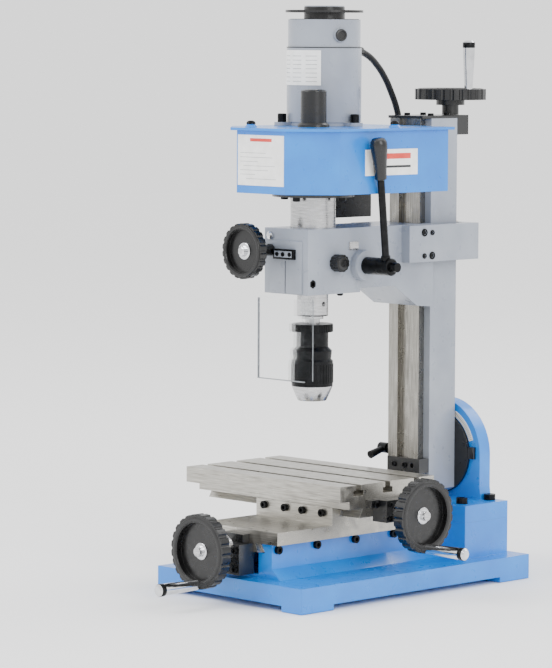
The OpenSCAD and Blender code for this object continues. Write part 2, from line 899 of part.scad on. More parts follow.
// Rack behind the quill, with a tooth for each of the pinion's
module rack_bar() {
    pitch = 2 * PI * pinion_r / 20;
    difference() {
        block([-5, 5], [spindle_y + quill_r - 5, rack_y + 1.7], [pinion_z - 18, head_top - 2 * free_gap]);
        for (i = [-4:9])
            translate([0, rack_y, pinion_z + i * pitch])
                rotate([0, 90, 0])
                    linear_extrude(12, center = true)
                        polygon([[-pitch * 0.3, -0.8], [pitch * 0.3, -0.8], [pitch * 0.46, 2],
                            [-pitch * 0.46, 2]]);
    }
}

module spindle_bearings() {
    color("silver")
        for (z = [quill_bottom, quill_top - 12])
            difference() {
                bar_z(0, spindle_y, [z, z + 12], 14);
                bar_z(0, spindle_y, [z - 1, z + 13], spindle_r + run_fit);
            }
}

module spindle() {
    color("silver")
        union() {
            bar_z(0, spindle_y, [disc_top, quill_top - 2], spindle_r);
            bar_z(0, spindle_y, [quill_bottom - 4.5, quill_bottom - 0.5], 12);
            bar_z(0, spindle_y, [quill_top - 3, cover_top - 6], 7);
        }
}

// ---------- chuck ----------

module chuck_body() {
    color("dimgray")
        difference() {
            union() {
                bar_z(0, spindle_y, [chuck_top, disc_top], 22);
                bar_z(0, spindle_y, [sleeve_top + slide_gap, chuck_top + e], 17.3);
                bar_z(0, spindle_y, [cone_top - e, sleeve_top + 1], 15);
                bar_z(0, spindle_y, [cone_top - e, cone_top + 20], core_r);
                translate([0, spindle_y, chuck_bottom])
                    cylinder(h = cone_top - chuck_bottom, r1 = 15.5, r2 = 22);
            }
            bar_z(0, spindle_y, [chuck_bottom - 1, cone_top + 16], 7);
            for (i = [0:2])
                jaw_place(i) translate([0, 0, -20]) cylinder(h = jaw_l + 21, r = jaw_r + run_fit);
        }
}

module jaw_place(i) {
    translate([0, spindle_y, 0])
        rotate(120 * i)
            translate([jaw_tip, 0, chuck_bottom + 1])
                rotate([0, jaw_lean, 0])
                    children();
}

module chuck_sleeve() {
    color("dimgray")
        translate([0, spindle_y, cone_top + slide_gap])
            rotate_extrude()
                polygon([[core_r + run_fit, 0], [chuck_r, 0], [chuck_r, 27], [20.5, 29], [21.5, 38],
                    [17.5, 42], [15.3, 42], [15.3, 21], [core_r + run_fit, 21]]);
}

module chuck_jaw(i) {
    color("silver")
        jaw_place(i) cylinder(h = jaw_l, r = jaw_r);
}

// ---------- feeds ----------

module pinion_shaft() {
    color("silver")
        union() {
            bar_x([-head_half + 5, lever_x + 5], pinion_y, pinion_z, 6);
            translate([-6, pinion_y, pinion_z])
                rotate([90, 0, 90])
                    linear_extrude(12)
                        gear_outline(pinion_r, 20, 1.2);
        }
}

module feed_lever() {
    color("black")
        union() {
            difference() {
                bar_x([boss_x + 0.4, lever_x + 7], pinion_y, pinion_z, 9.4);
                bar_x([boss_x, lever_x + 5], pinion_y, pinion_z, 6);
            }
            bar_x([lever_x + 6, lever_x + 16], pinion_y, pinion_z, 5.2);
            translate([lever_x - 1, pinion_y, pinion_z])
                rotate([lever_rest, 0, 0]) rotate([0, lever_lean, 0]) {
                    translate([0, 0, 8]) cylinder(h = lever_l - 48, r = 4);
                    translate([0, 0, lever_l - 43]) cylinder(h = 38, r1 = 6, r2 = 9);
                    translate([0, 0, lever_l - 5]) cylinder(h = 5, r1 = 9, r2 = 6.5);
                }
        }
}

module fine_feed_shaft() {
    color("black")
        union() {
            bar_y(worm_x, [fine_y - 8, pinion_y + 13], worm_z, 3);
            bar_y(worm_x, [pinion_y - 8, pinion_y + 8], worm_z, worm_r);
            bar_y(worm_x, [head_front - 20, head_front - 2.5], worm_z, 6.5);
            translate([worm_x, fine_y - 9, worm_z])
                rotate([90, 0, 0]) {
                    wheel(fine_r, 9, 22, 2.2, 9, 12, 2.9);
                    translate([0, 0, -5.5]) cylinder(h = 6, r = 5, $fn = 6);
                }
        }
}

module worm_wheel() {
    color("goldenrod")
        translate([worm_x, pinion_y, pinion_z])
            rotate([90, 0, 90])
                difference() {
                    translate([0, 0, -4.5]) linear_extrude(9) gear_outline(11.2, 30, 0.9);
                    translate([0, 0, -6]) cylinder(h = 12, r = 6 + run_fit);
                }
}

// Knob whose screw presses on the quill
module quill_lock() {
    color("black") {
        bar_x([20, head_half + 6], -52.5, 359, 4);
        translate([head_half + 0.8, -52.5, 359])
            rotate([90, 0, 90])
                linear_extrude(11)
                    difference() {
                        circle(9.5);
                        for (i = [0:11])
                            rotate(30 * i) translate([10.4, 0]) circle(1.6, $fn = 16);
                    }
    }
}

// ---------- belt drive ----------

module belt_housing() {
    color("dodgerblue")
        difference() {
            translate([0, 0, cover_z])
                linear_extrude(cover_h)
                    cover_outline(0);
            translate([0, 0, cover_z + sheet_t])
                linear_extrude(cover_h)
                    cover_outline(-sheet_t);
            bar_z(0, spindle_y, [cover_z - 1, cover_z + 5], 20);
        }
}

module belt_lid() {
    color("dodgerblue")
        difference() {
            union() {
                translate([0, 0, cover_top]) linear_extrude(lid_t) cover_outline(lid_lip);
                for (p = LID_SCREWS)
                    translate([p[0], p[1], lid_top - e]) cylinder(h = 4, r1 = 7, r2 = 4);
            }
            bar_z(0, spindle_y, [cover_top - 1, lid_top + 1], 12);
            bar_z(motor_x, motor_y, [cover_top - 1, lid_top + 1], 14);
        }
}

// Three sheaves turned on one sleeve, in a bearing in the quill housing
module spindle_pulley() {
    color("gainsboro")
        translate([0, spindle_y, 0])
            difference() {
                union() {
                    translate([0, 0, housing_top - 17]) cylinder(h = cover_top - housing_top + 11, r = 10);
                    sheave(cover_z + 7, 37);
                    sheave(cover_z + 22, 31);
                    sheave(cover_z + 37, 25);
                }
                translate([0, 0, housing_top - 18]) cylinder(h = 200, r = 7 + run_fit);
            }
}

// One belt groove of a step pulley
module sheave(z, r) {
    translate([0, 0, z])
        rotate_extrude()
            polygon([[9, 0], [r, 0], [r, 2.5], [r - 5, 5], [r - 5, 8], [r, 10.5], [r, 13], [9, 13]]);
}

module motor_pulley() {
    color("gainsboro")
        translate([motor_x, motor_y, 0])
            union() {
                sheave(cover_z + 7, 14);
                sheave(cover_z + 22, 18);
                sheave(cover_z + 37, 22);
                translate([0, 0, cover_z + 5]) cylinder(h = cover_h, r = 9.5);
                translate([0, 0, cover_top]) cylinder(h = motor_z + 39 - cover_top, r = 5);
            }
}

// Motor with its three-lobed flange, brush cap, and the disc that stands over its top
module motor() {
    color("lightsteelblue")
        translate([motor_x, motor_y, 0])
            difference() {
                union() {
                    translate([0, 0, lid_top])
                        for (a = [0:120:240])
                            rotate(a)
                                translate([47, 0, 0]) {
                                    cylinder(h = flange_h, r = 9);
                                    translate([-20, -9, 0]) cube([20, 18, flange_h]);
                                }
                    translate([0, 0, lid_top]) cylinder(h = flange_h + e, r = 40);
                    translate([0, 0, motor_z]) cylinder(h = motor_h * 0.73, r = motor_r);
                    translate([0, 0, motor_z]) cylinder(h = motor_h, r = motor_r - 1.2);
                    translate([0, 0, motor_top - e]) cylinder(h = 15, r = 22);
                    translate([0, 0, motor_top + 8]) cylinder(h = 2, r = 42);
                    translate([0, motor_r - 5, LEAD[0][2]])
                        rotate([-90, 0, 0]) cylinder(h = 11, r = 6.5);
                    for (a = [-20, 160])
                        rotate([0, 0, a])
                            translate([motor_r - 3, 0, motor_top - 17])
                                rotate([0, 90, 0]) cylinder(h = 5, r = 7.5);
                }
                translate([0, 0, lid_top - 1]) cylinder(h = 12, r = 13);
                translate([0, 0, lid_top - 1]) cylinder(h = 45, r = 5 + run_fit);
                translate([0, LEAD[0][1] - motor_y - 0.2, LEAD[0][2]])
                    rotate([-90, 0, 0]) cylinder(h = 10, r = lead_r + run_fit);
            }
    color("black")
        translate([motor_x, motor_y, motor_z])
            for (a = [0:120:240])
                rotate(a) translate([47.5, 0, 0]) cylinder(h = 9, r = 4.6);
}

// The motor's lead as a tube along its route, closed at both ends
module motor_lead() {
    color("black") lead_tube();
}

module lead_tube() {
    sides = 8;
    n = len(LEAD);
    rings = [for (i = [0:n - 1])
        let (a = LEAD[max(i - 1, 0)], b = LEAD[min(i + 1, n - 1)], t = (b - a) / norm(b - a),
            u = cross(t, [1, 0, 0]) / norm(cross(t, [1, 0, 0])), v = cross(t, u))
        for (k = [0:sides - 1])
            LEAD[i] + lead_r * (cos(360 / sides * k) * u - sin(360 / sides * k) * v)];
    walls = [for (i = [0:n - 2])
        for (k = [0:sides - 1])
            [i * sides + k, i * sides + (k + 1) % sides, (i + 1) * sides + (k + 1) % sides,
                (i + 1) * sides + k]];
    polyhedron(rings, concat([[for (k = [sides - 1:-1:0]) k]], walls,
        [[for (k = [0:sides - 1]) (n - 1) * sides + k]]));
}

module drawbar_cap() {
    color("black")
        translate([0, spindle_y, lid_top])
            difference() {
                union() {
                    cylinder(h = 4, r = 16);
                    cylinder(h = 38, r = 14);
                    cylinder(h = 40, r = 11);
                }
                translate([0, 0, -1]) cylinder(h = 32, r = 10.5);
            }
}

// ---------- guard and switch ----------

// Clear screen in front of the chuck, hung on a pin at its left end
module chuck_guard() {
    color("white")
        union() {
            block([-43, 27], [head_front, head_front + 2], [guard_low, head_bottom - 5]);
            block([25, 27], [head_front, head_front + 16], [guard_low, head_bottom - 5]);
            block([-43, guard_x + 4], [head_front, guard_y + 4], [head_bottom - 6, head_bottom - 3]);
            bar_z(guard_x, guard_y, [head_bottom - 4, head_bottom + guard_pin_l], 2.5);
        }
}

module switch_box() {
    color("black")
        difference() {
            union() {
                block(box_x, box_y, box_z);
                bar_y(-101, [box_y[1] - 1, box_y[1] + 4], 441, 7);
                bar_y(-101, [box_y[1] - 1, box_y[1] + 10], box_z[0] + 14, 7);
                for (x = BUTTON_X)
                    bar_y(x, [box_y[0] - 2, box_y[0] + 6], button_z, button_r + 2);
            }
            block([box_x[0] + 2.5, box_x[1] - 2.5], [box_y[0] + 2.5, box_y[1] - 2.5],
                [box_z[0] + 2.5, box_z[1] - 2.5]);
            bar_y(gland_x, [box_y[1] - 3, box_y[1] + 5], gland_z, lead_r + 0.4);
            for (x = BUTTON_X)
                bar_y(x, [box_y[0] - 3, box_y[0] + 7], button_z, button_r + run_fit);
        }
}

module button(x) {
    bar_y(x, [box_y[0] - 6, box_y[0] + 9], button_z, button_r);
}

module start_button() {
    color("green") button(BUTTON_X[0]);
}

module stop_button() {
    color("red") button(BUTTON_X[1]);
}

base_casting();
column_bracket();
bracket_bolts();
tilt_scale();
y_nut();
y_gib_screws();
saddle();
y_gib();
x_gib();
x_gib_screws();
y_bracket();
x_nut();
y_feed_screw();
y_dial();
y_handwheel();
y_handle();
table();
x_brackets();
x_feed_screw();
x_dial();
x_handwheel();
x_handle();
column();
column_ways();
tilt_disc();
column_foot();
column_cap();
column_clamp();
z_feed_screw();
z_handwheel();
z_handle();
head_casting();
z_yoke();
z_nut();
front_plate();
quill_housing();
quill();
spindle_bearings();
spindle();
chuck_body();
chuck_sleeve();
chuck_jaw(0);  // chuck_jaw_1
chuck_jaw(1);  // chuck_jaw_2
chuck_jaw(2);  // chuck_jaw_3
pinion_shaft();
feed_lever();
fine_feed_shaft();
worm_wheel();
quill_lock();
belt_housing();
belt_lid();
spindle_pulley();
motor();
motor_pulley();
motor_lead();
drawbar_cap();
chuck_guard();
switch_box();
start_button();
stop_button();
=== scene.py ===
"""Benchtop milling machine: finishes, plates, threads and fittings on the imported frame."""

import json
import math

import bpy
from mathutils import Matrix, Vector


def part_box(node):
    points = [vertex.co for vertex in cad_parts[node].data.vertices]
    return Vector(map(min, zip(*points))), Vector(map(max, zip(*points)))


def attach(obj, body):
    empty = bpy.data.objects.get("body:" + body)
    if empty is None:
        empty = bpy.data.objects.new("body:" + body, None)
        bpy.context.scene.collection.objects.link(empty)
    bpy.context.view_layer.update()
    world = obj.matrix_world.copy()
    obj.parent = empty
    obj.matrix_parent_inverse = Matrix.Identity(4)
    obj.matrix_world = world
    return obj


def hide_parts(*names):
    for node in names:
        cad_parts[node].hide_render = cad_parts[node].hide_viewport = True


bl_info = {
    "name": "Benchtop Milling Machine",
    "version": (1, 0, 0),
    "blender": (4, 5, 0),
    "location": "3D View > Sidebar > Mill",
    "description": "Builds the fittings and finishes of a small milling machine on its frame",
    "category": "Object",
}

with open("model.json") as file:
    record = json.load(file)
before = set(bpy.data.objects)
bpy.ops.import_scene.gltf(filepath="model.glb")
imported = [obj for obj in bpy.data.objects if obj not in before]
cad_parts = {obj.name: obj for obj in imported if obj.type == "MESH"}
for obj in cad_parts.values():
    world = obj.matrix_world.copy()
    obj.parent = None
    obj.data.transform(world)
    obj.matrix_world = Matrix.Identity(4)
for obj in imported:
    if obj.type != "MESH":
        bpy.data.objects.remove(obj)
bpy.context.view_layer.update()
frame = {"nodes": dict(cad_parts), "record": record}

# Places and sizes below are in mm; the helpers turn them into metres.
MM = 0.001
WELD = 0.000002
SHARP_ANGLE = math.radians(35)
PIVOTS = {row["name"]: row.get("pos_m") for row in frame["record"]["behaviour"]["joints"]}


def pivot(joint, upright=False):
    """A joint's pivot in mm, or with upright only where its vertical axis stands."""
    place = Vector(PIVOTS[joint]) / MM
    if upright:
        place.z = 0.0
    return place


def box_mm(node):
    """A node's lowest and highest corners in mm."""
    low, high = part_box(node)
    return Vector(low) / MM, Vector(high) / MM


SPINDLE = pivot("spindle_spin", upright=True)
MOTOR_AXIS = pivot("motor_pulley_turn", upright=True)
PINION = pivot("feed_lever_turn")
FINE_FEED = pivot("fine_feed_turn")
QUILL_LOCK = pivot("quill_lock_turn")
TILT_Z = pivot("column_tilt").z
HEAD_HALF = 33
YOKE_HALF = 45
LINE_PITCH = 4.6
MOTOR_R = 41
LEVER_TILT = math.radians(14)
LEVER_LEAN = math.radians(8)
SWITCH_FACE_Y = 45
SWITCH_BACK_Y = 117
GLAND_X = -101
GLAND_Z = 441
BUTTON_Z = 455
AXES = {
    "X": Vector((1, 0, 0)),
    "-X": Vector((-1, 0, 0)),
    "Y": Vector((0, 1, 0)),
    "-Y": Vector((0, -1, 0)),
    "Z": Vector((0, 0, 1)),
    "-Z": Vector((0, 0, -1)),
}

# ---------- colours and materials ----------


def hex_colour(text, alpha=1.0):
    """An sRGB hex colour as linear values."""
    channels = [int(text[i : i + 2], 16) / 255 for i in (1, 3, 5)]
    linear = [c / 12.92 if c <= 0.04045 else ((c + 0.055) / 1.055) ** 2.4 for c in channels]
    return (*linear, alpha)


def add_node(tree, kind, inputs=None, **settings):
    """Adds a node, with its settings, and its inputs linked or set."""
    made = tree.nodes.new(kind)
    for key, value in settings.items():
        setattr(made, key, value)
    for key, value in (inputs or {}).items():
        if isinstance(value, bpy.types.NodeSocket):
            tree.links.new(value, made.inputs[key])
        else:
            made.inputs[key].default_value = value
    return made


def per_size(size_mm):
    """Texture scale that gives features of this size on Object coordinates."""
    return 1.0 / (size_mm * MM)


def start_material(name, colour, metallic, roughness, sockets=None):
    """A material with its shader's own sockets set, and the piece's Object coordinates."""
    material = bpy.data.materials.new(name)
    material.use_nodes = True
    material.diffuse_color = hex_colour(colour)
    tree = material.node_tree
    shader = tree.nodes["Principled BSDF"]
    shader.inputs["Base Color"].default_value = hex_colour(colour)
    shader.inputs["Metallic"].default_value = metallic
    shader.inputs["Roughness"].default_value = roughness
    for key, value in (sockets or {}).items():
        shader.inputs[key].default_value = value
    coords = add_node(tree, "ShaderNodeTexCoord").outputs["Object"]
    return material, tree, shader, coords


def noise(tree, coords, size_mm, detail=2.0, stretch=None):
    """Noise with blobs of this size, stretched along an axis where a stretch is given."""
    if stretch:
        coords = add_node(tree, "ShaderNodeMapping",
                          {"Vector": coords, "Scale": stretch}).outputs[0]
    made = add_node(tree, "ShaderNodeTexNoise",
                    {"Vector": coords, "Scale": per_size(size_mm), "Detail": detail})
    return made.outputs["Fac"]


def tint(tree, shader, factor, dark, light, low=0.3, high=0.7):
    """Varies the base colour between two shades."""
    shaped = add_node(tree, "ShaderNodeMapRange",
                      {"Value": factor, "From Min": low, "From Max": high}).outputs[0]
    mixed = add_node(tree, "ShaderNodeMix",
                     {0: shaped, 6: hex_colour(dark), 7: hex_colour(light)}, data_type="RGBA")
    tree.links.new(mixed.outputs[2], shader.inputs["Base Color"])


def vary_roughness(tree, shader, factor, smooth, rough):
    """Varies the roughness over the surface."""
    made = add_node(tree, "ShaderNodeMapRange",
                    {"Value": factor, "From Min": 0.3, "From Max": 0.7,
                     "To Min": smooth, "To Max": rough})
    tree.links.new(made.outputs[0], shader.inputs["Roughness"])


def relief(tree, shader, height, depth_mm, strength, edge_mm=0.0):
    """Fine relief over the surface, with edges softened as if broken by a file."""
    inputs = {"Height": height, "Distance": depth_mm * MM, "Strength": strength}
    if edge_mm:
        inputs["Normal"] = add_node(tree, "ShaderNodeBevel", {"Radius": edge_mm * MM},
                                    samples=4).outputs[0]
    bump = add_node(tree, "ShaderNodeBump", inputs)
    tree.links.new(bump.outputs[0], shader.inputs["Normal"])


def enamel_paint(name, dark, light, edge_mm=1.2):
    """Sprayed gloss enamel on a casting: soft orange peel, a clear gloss, uneven depth."""
    material, tree, shader, coords = start_material(
        name, light, 0.0, 0.32, {"Coat Weight": 0.35, "Coat Roughness": 0.12, "IOR": 1.5})
    tint(tree, shader, noise(tree, coords, 55, 3.0), dark, light)
    vary_roughness(tree, shader, noise(tree, coords, 12, 3.0), 0.25, 0.42)
    relief(tree, shader, noise(tree, coords, 2.2, 2.0), 0.12, 0.35, edge_mm)
    return material


def ground_metal(name, dark, light, stretch, smooth=0.26, rough=0.46, line_mm=0.9):
    """Ground iron or steel: fine lines along the stroke of the stone, and duller patches."""
    material, tree, shader, coords = start_material(name, light, 1.0, 0.35)
    lines = noise(tree, coords, line_mm, 2.0, stretch)
    tint(tree, shader, lines, dark, light, 0.25, 0.75)
    vary_roughness(tree, shader, noise(tree, coords, 9, 4.0), smooth, rough)
    relief(tree, shader, lines, 0.05, 0.35, 0.4)
    return material


def turned_metal(name, dark, light, roughness, line_mm=0.5):
    """Steel turned on a lathe: fine rings, a little uneven."""
    material, tree, shader, coords = start_material(name, light, 1.0, roughness)
    rings = noise(tree, coords, line_mm, 1.0, (0.05, 0.05, 1.0))
    tint(tree, shader, rings, dark, light, 0.2, 0.8)
    vary_roughness(tree, shader, noise(tree, coords, 7, 3.0), roughness * 0.7, roughness * 1.4)
    relief(tree, shader, rings, 0.02, 0.25, 0.3)
    return material


def moulded_plastic(name, dark, light, roughness=0.42, pebble_mm=0.8, edge_mm=0.5):
    """Moulded phenolic or ABS: a fine pebble and a low sheen on its edges."""
    material, tree, shader, coords = start_material(name, light, 0.0, roughness, {"IOR": 1.5})
    tint(tree, shader, noise(tree, coords, 18, 3.0), dark, light)
    vary_roughness(tree, shader, noise(tree, coords, 6, 2.0), roughness * 0.75, roughness * 1.2)
    relief(tree, shader, noise(tree, coords, pebble_mm, 1.0), 0.06, 0.3, edge_mm)
    return material


def oxide_steel(name, dark="#08090a", light="#17181a", roughness=0.34):
    """Blackened steel: a dark oiled skin over metal, with brown-grey rub marks."""
    material, tree, shader, coords = start_material(name, light, 0.75, roughness)
    tint(tree, shader, noise(tree, coords, 6, 4.0), dark, light)
    vary_roughness(tree, shader, noise(tree, coords, 3, 3.0), 0.24, 0.45)
    relief(tree, shader, noise(tree, coords, 0.7, 2.0), 0.03, 0.25, 0.4)
    return material


def chrome_plate(name):
    """Polished chrome plating with a few smears of oil."""
    material, tree, shader, coords = start_material(name, "#d9dadc", 1.0, 0.09)
    tint(tree, shader, noise(tree, coords, 14, 2.0), "#c3c4c7", "#e2e3e5")
    vary_roughness(tree, shader, noise(tree, coords, 5, 4.0), 0.05, 0.16)
    return material


def clear_sheet(name):
    """Clear polycarbonate: clean glass-like sheet with hairline scratches."""
    material, tree, shader, coords = start_material(
        name, "#f4f8fa", 0.0, 0.04, {"Transmission Weight": 1.0, "IOR": 1.1, "Alpha": 0.35})
    scratches = noise(tree, coords, 1.2, 3.0, (0.04, 1.0, 1.0))
    vary_roughness(tree, shader, scratches, 0.02, 0.08)
    relief(tree, shader, scratches, 0.01, 0.1)
    return material


def printed_vinyl(name, dark, light, roughness=0.45):
    """Printed vinyl sticker, smooth with a faint unevenness where it is stuck down."""
    material, tree, shader, coords = start_material(name, light, 0.0, roughness, {"IOR": 1.5})
    tint(tree, shader, noise(tree, coords, 10, 2.0), dark, light)
    relief(tree, shader, noise(tree, coords, 5, 2.0), 0.04, 0.2)
    return material


def make_finishes(settings):
    """Every finish on the machine, by the name of its material slot or its use."""
    along_x = (0.03, 1.0, 1.0)
    along_z = (1.0, 1.0, 0.03)
    return {
        "blue_paint": enamel_paint("blue_enamel_on_cast_iron",
                                   settings.blue_dark, settings.blue_light),
        "grey_paint": enamel_paint("grey_enamel_on_cast_iron",
                                   settings.grey_dark, settings.grey_light, 0.8),
        "black_paint": enamel_paint("black_enamel_on_steel", "#08090a", "#121315", 0.6),
        "black_steel": oxide_steel("black_oxide_steel"),
        "ground_iron": ground_metal("ground_cast_iron", "#8d8a83", "#c4c1b9", along_x),
        "scraped_way": ground_metal("ground_way", "#6d6b66", "#aeaba4", along_z, 0.22, 0.4),
        "ground_steel": turned_metal("turned_steel", "#9b9b9c", "#cfcfd0", 0.24),
        "chrome_plate": chrome_plate("polished_chrome"),
        "bronze": turned_metal("turned_bronze", "#7d5f2c", "#b08a45", 0.3),
        "cast_aluminium": turned_metal("turned_aluminium", "#a9aaac", "#d3d4d6", 0.32),
        "black_plastic": moulded_plastic("black_phenolic", "#050506", "#0d0d0e", 0.32),
        "green_plastic": moulded_plastic("green_abs_button", "#0b6a2c", "#149a44", 0.3),
        "red_plastic": moulded_plastic("red_abs_button", "#9c1210", "#cf211c", 0.3),
        "white_enamel": printed_vinyl("white_printed_scale", "#dedcd4", "#efeee8"),
        "clear_sheet": clear_sheet("clear_polycarbonate"),
        "lead_rubber": moulded_plastic("black_rubber_lead", "#0a0a0a", "#151515", 0.55, 0.5),
        "white_print": printed_vinyl("white_vinyl_plate", "#e9e9e6", "#f7f7f5"),
        "red_print": printed_vinyl("red_vinyl_print", "#c8342b", "#de4437"),
        # This grey is the print on the plates, and also the painted sheen on the clear guard's
        # edges.
        "grey_print_and_sheen": printed_vinyl("grey_vinyl_print_and_painted_sheen", "#7d8185", "#8f9397"),
        "dark_print": printed_vinyl("dark_vinyl_print", "#17181a", "#232427"),
    }


finishes = {}

# ---------- modelling by hand, in code ----------


def clear_selection():
    """Object mode with nothing selected."""
    if bpy.context.object and bpy.context.object.mode != "OBJECT":
        bpy.ops.object.mode_set(mode="OBJECT")
    bpy.ops.object.select_all(action="DESELECT")


def take_up(piece):
    """Makes a piece the only one selected, and the active one."""
    clear_selection()
    piece.select_set(True)
    bpy.context.view_layer.objects.active = piece


def edit_faces(piece, wanted):
    """Enters edit mode with only the faces that pass the test selected."""
    take_up(piece)
    bpy.ops.object.mode_set(mode="EDIT")
    bpy.ops.mesh.select_mode(type="FACE")
    bpy.ops.mesh.select_all(action="DESELECT")
    bpy.ops.object.mode_set(mode="OBJECT")
    for face in piece.data.polygons:
        face.select = wanted(face)
    bpy.ops.object.mode_set(mode="EDIT")


def settle(piece, matrix=None):
    """Moves the mesh to its place and leaves the object at the origin."""
    take_up(piece)
    if matrix is not None:
        piece.matrix_world = matrix
    bpy.ops.object.transform_apply(location=True, rotation=True, scale=True)


def finish_piece(piece, name, body, finish):
    """Names a piece, shades it, gives its finish, and sets it on its body."""
    take_up(piece)
    bpy.ops.object.mode_set(mode="EDIT")
    bpy.ops.mesh.select_all(action="SELECT")
    bpy.ops.mesh.remove_doubles(threshold=WELD)
    bpy.ops.mesh.normals_make_consistent(inside=False)
    bpy.ops.object.mode_set(mode="OBJECT")
    bpy.ops.object.shade_smooth_by_angle(angle=SHARP_ANGLE)
    piece.name = name
    piece.data.name = name
    piece.data.materials.clear()
    piece.data.materials.append(finishes[finish])
    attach(piece, body)
    return piece


def join_pieces(parts):
    """Joins copies of a small shape into one piece."""
    clear_selection()
    for part in parts:
        part.select_set(True)
    bpy.context.view_layer.objects.active = parts[0]
    if len(parts) > 1:
        bpy.ops.object.join()
    return bpy.context.object


def aim_matrix(place, axis):
    """Turns +Z to the axis and moves the origin to the place."""
    turn = Vector((0, 0, 1)).rotation_difference(AXES[axis]).to_matrix().to_4x4()
    return Matrix.Translation(Vector(place) * MM) @ turn


def turned_shape(place, axis, outline, sides=40):
    """A turned shape: a disc extruded and scaled from one (height, radius) in mm to the next."""
    clear_selection()
    steps = [(height * MM, radius * MM) for height, radius in outline]
    height, radius = steps[0]
    bpy.ops.mesh.primitive_circle_add(vertices=sides, radius=radius, fill_type="NGON",
                                      location=(0, 0, height))
    piece = bpy.context.object
    bpy.ops.object.mode_set(mode="EDIT")
    bpy.ops.mesh.select_all(action="SELECT")
    for next_height, next_radius in steps[1:]:
        bpy.ops.mesh.extrude_region_move(
            TRANSFORM_OT_translate={"value": (0, 0, next_height - height)})
        share = next_radius / radius
        bpy.ops.transform.resize(value=(share, share, 1), center_override=(0, 0, next_height))
        height, radius = next_height, next_radius
    bpy.ops.object.mode_set(mode="OBJECT")
    settle(piece)
    settle(piece, aim_matrix(place, axis))
    return piece


def socket_screw(place, axis, radius, height):
    """A socket head of a radius and height in mm, with a broken top edge and a recess."""
    edge = radius * 0.14
    outline = [(-0.3, radius), (height - edge, radius), (height, radius - edge),
               (height, radius * 0.56), (height * 0.45, radius * 0.5)]
    return turned_shape(place, axis, outline, 24)


def bevelled_block(low, high, edge, inset=0.0, raise_by=0.0, face_axis="-Y"):
    """A block with broken edges, whose chosen face is inset and raised or sunk."""
    low, high = Vector(low) * MM, Vector(high) * MM
    clear_selection()
    bpy.ops.mesh.primitive_cube_add(size=1, location=(low + high) / 2, scale=high - low)
    piece = bpy.context.object
    settle(piece)
    bpy.ops.object.mode_set(mode="EDIT")
    bpy.ops.mesh.select_all(action="SELECT")
    bpy.ops.mesh.bevel(offset=edge * MM, segments=2, affect="EDGES")
    bpy.ops.object.mode_set(mode="OBJECT")
    if inset:
        facing = AXES[face_axis]
        facing_it = [f for f in piece.data.polygons if f.normal.dot(facing) > 0.99]
        index = max(facing_it, key=lambda face: face.area).index
        edit_faces(piece, lambda face: face.index == index)
        bpy.ops.mesh.inset(thickness=inset * MM)
        bpy.ops.transform.translate(value=facing * raise_by * MM)
        bpy.ops.object.mode_set(mode="OBJECT")
    return piece


def curved_band(centre, inner, outer, low, high, steps, start=0.0, sweep=2 * math.pi):
    """A band round a vertical axis: its upright section is spun through the sweep."""
    clear_selection()
    bpy.ops.mesh.primitive_plane_add(size=1, location=(0, 0, 0), rotation=(math.radians(90), 0, 0))
    piece = bpy.context.object
    piece.scale = ((outer - inner) * MM, (high - low) * MM, 1)
    piece.location = Vector((inner + outer, 0, low + high)) / 2 * MM
    settle(piece)
    settle(piece, Matrix.Rotation(start, 4, "Z"))
    bpy.ops.object.mode_set(mode="EDIT")
    bpy.ops.mesh.select_all(action="SELECT")
    bpy.ops.mesh.spin(steps=steps, angle=-sweep, center=(0, 0, 0), axis=(0, 0, 1))
    bpy.ops.mesh.select_all(action="SELECT")
    bpy.ops.mesh.remove_doubles(threshold=WELD)
    bpy.ops.object.mode_set(mode="OBJECT")
    settle(piece, Matrix.Translation(Vector(centre) * MM))
    return piece


def around(angle):
    """The level direction at an angle round a vertical axis."""
    turn = math.radians(angle)
    return Vector((math.cos(turn), math.sin(turn), 0))


def outer_end(low, high, centre, direction):
    """The point of a box's end along a direction, in line with its centre."""
    reach = max(low.dot(direction), high.dot(direction))
    return centre + direction * (reach - centre.dot(direction))


def ring_of_marks(place, axis, radius, mark, count, edge=0.0, start=0.0, sweep=None):
    """Marks spun round an axis: a mark is (radial depth, width, length along the axis) in mm."""
    clear_selection()
    depth, width, length = (share * MM for share in mark)
    bpy.ops.mesh.primitive_cube_add(size=1, location=(radius * MM, 0, length / 2),
                                    scale=(depth, width, length))
    piece = bpy.context.object
    settle(piece)
    settle(piece, Matrix.Rotation(start, 4, "Z"))
    bpy.ops.object.mode_set(mode="EDIT")
    bpy.ops.mesh.select_all(action="SELECT")
    if edge:
        bpy.ops.mesh.bevel(offset=edge * MM, segments=1, affect="EDGES")
        bpy.ops.mesh.select_all(action="SELECT")
    if sweep is None:
        sweep = 2 * math.pi * (count - 1) / count
    bpy.ops.mesh.spin(steps=count - 1, angle=-sweep, dupli=True, center=(0, 0, 0),
                      axis=(0, 0, 1))
    bpy.ops.object.mode_set(mode="OBJECT")
    settle(piece, aim_matrix(place, axis))
    return piece


def thread_ridge(place, axis, radius, pitch, length):
    """A screw thread: a small tooth wound up the shaft by a Screw modifier."""
    radius, pitch, length = radius * MM, pitch * MM, length * MM
    clear_selection()
    bpy.ops.mesh.primitive_circle_add(vertices=3, radius=pitch * 0.42, fill_type="NOTHING",
                                      location=(0, 0, 0), rotation=(math.radians(90), 0, 0))
    piece = bpy.context.object
    settle(piece)
    bpy.ops.object.mode_set(mode="EDIT")
    bpy.ops.mesh.select_all(action="SELECT")
    bpy.ops.transform.translate(value=(radius, 0, pitch * 0.5))
    bpy.ops.object.mode_set(mode="OBJECT")
    winding = piece.modifiers.new("winding", "SCREW")
    winding.axis = "Z"
    winding.steps = 20
    winding.render_steps = 20
    winding.iterations = max(1, int(length / pitch) - 1)
    winding.screw_offset = pitch
    winding.use_merge_vertices = False
    bpy.ops.object.modifier_apply(modifier="winding")
    settle(piece, aim_matrix(place, axis))
    return piece


# ---------- sizes that a user would change ----------


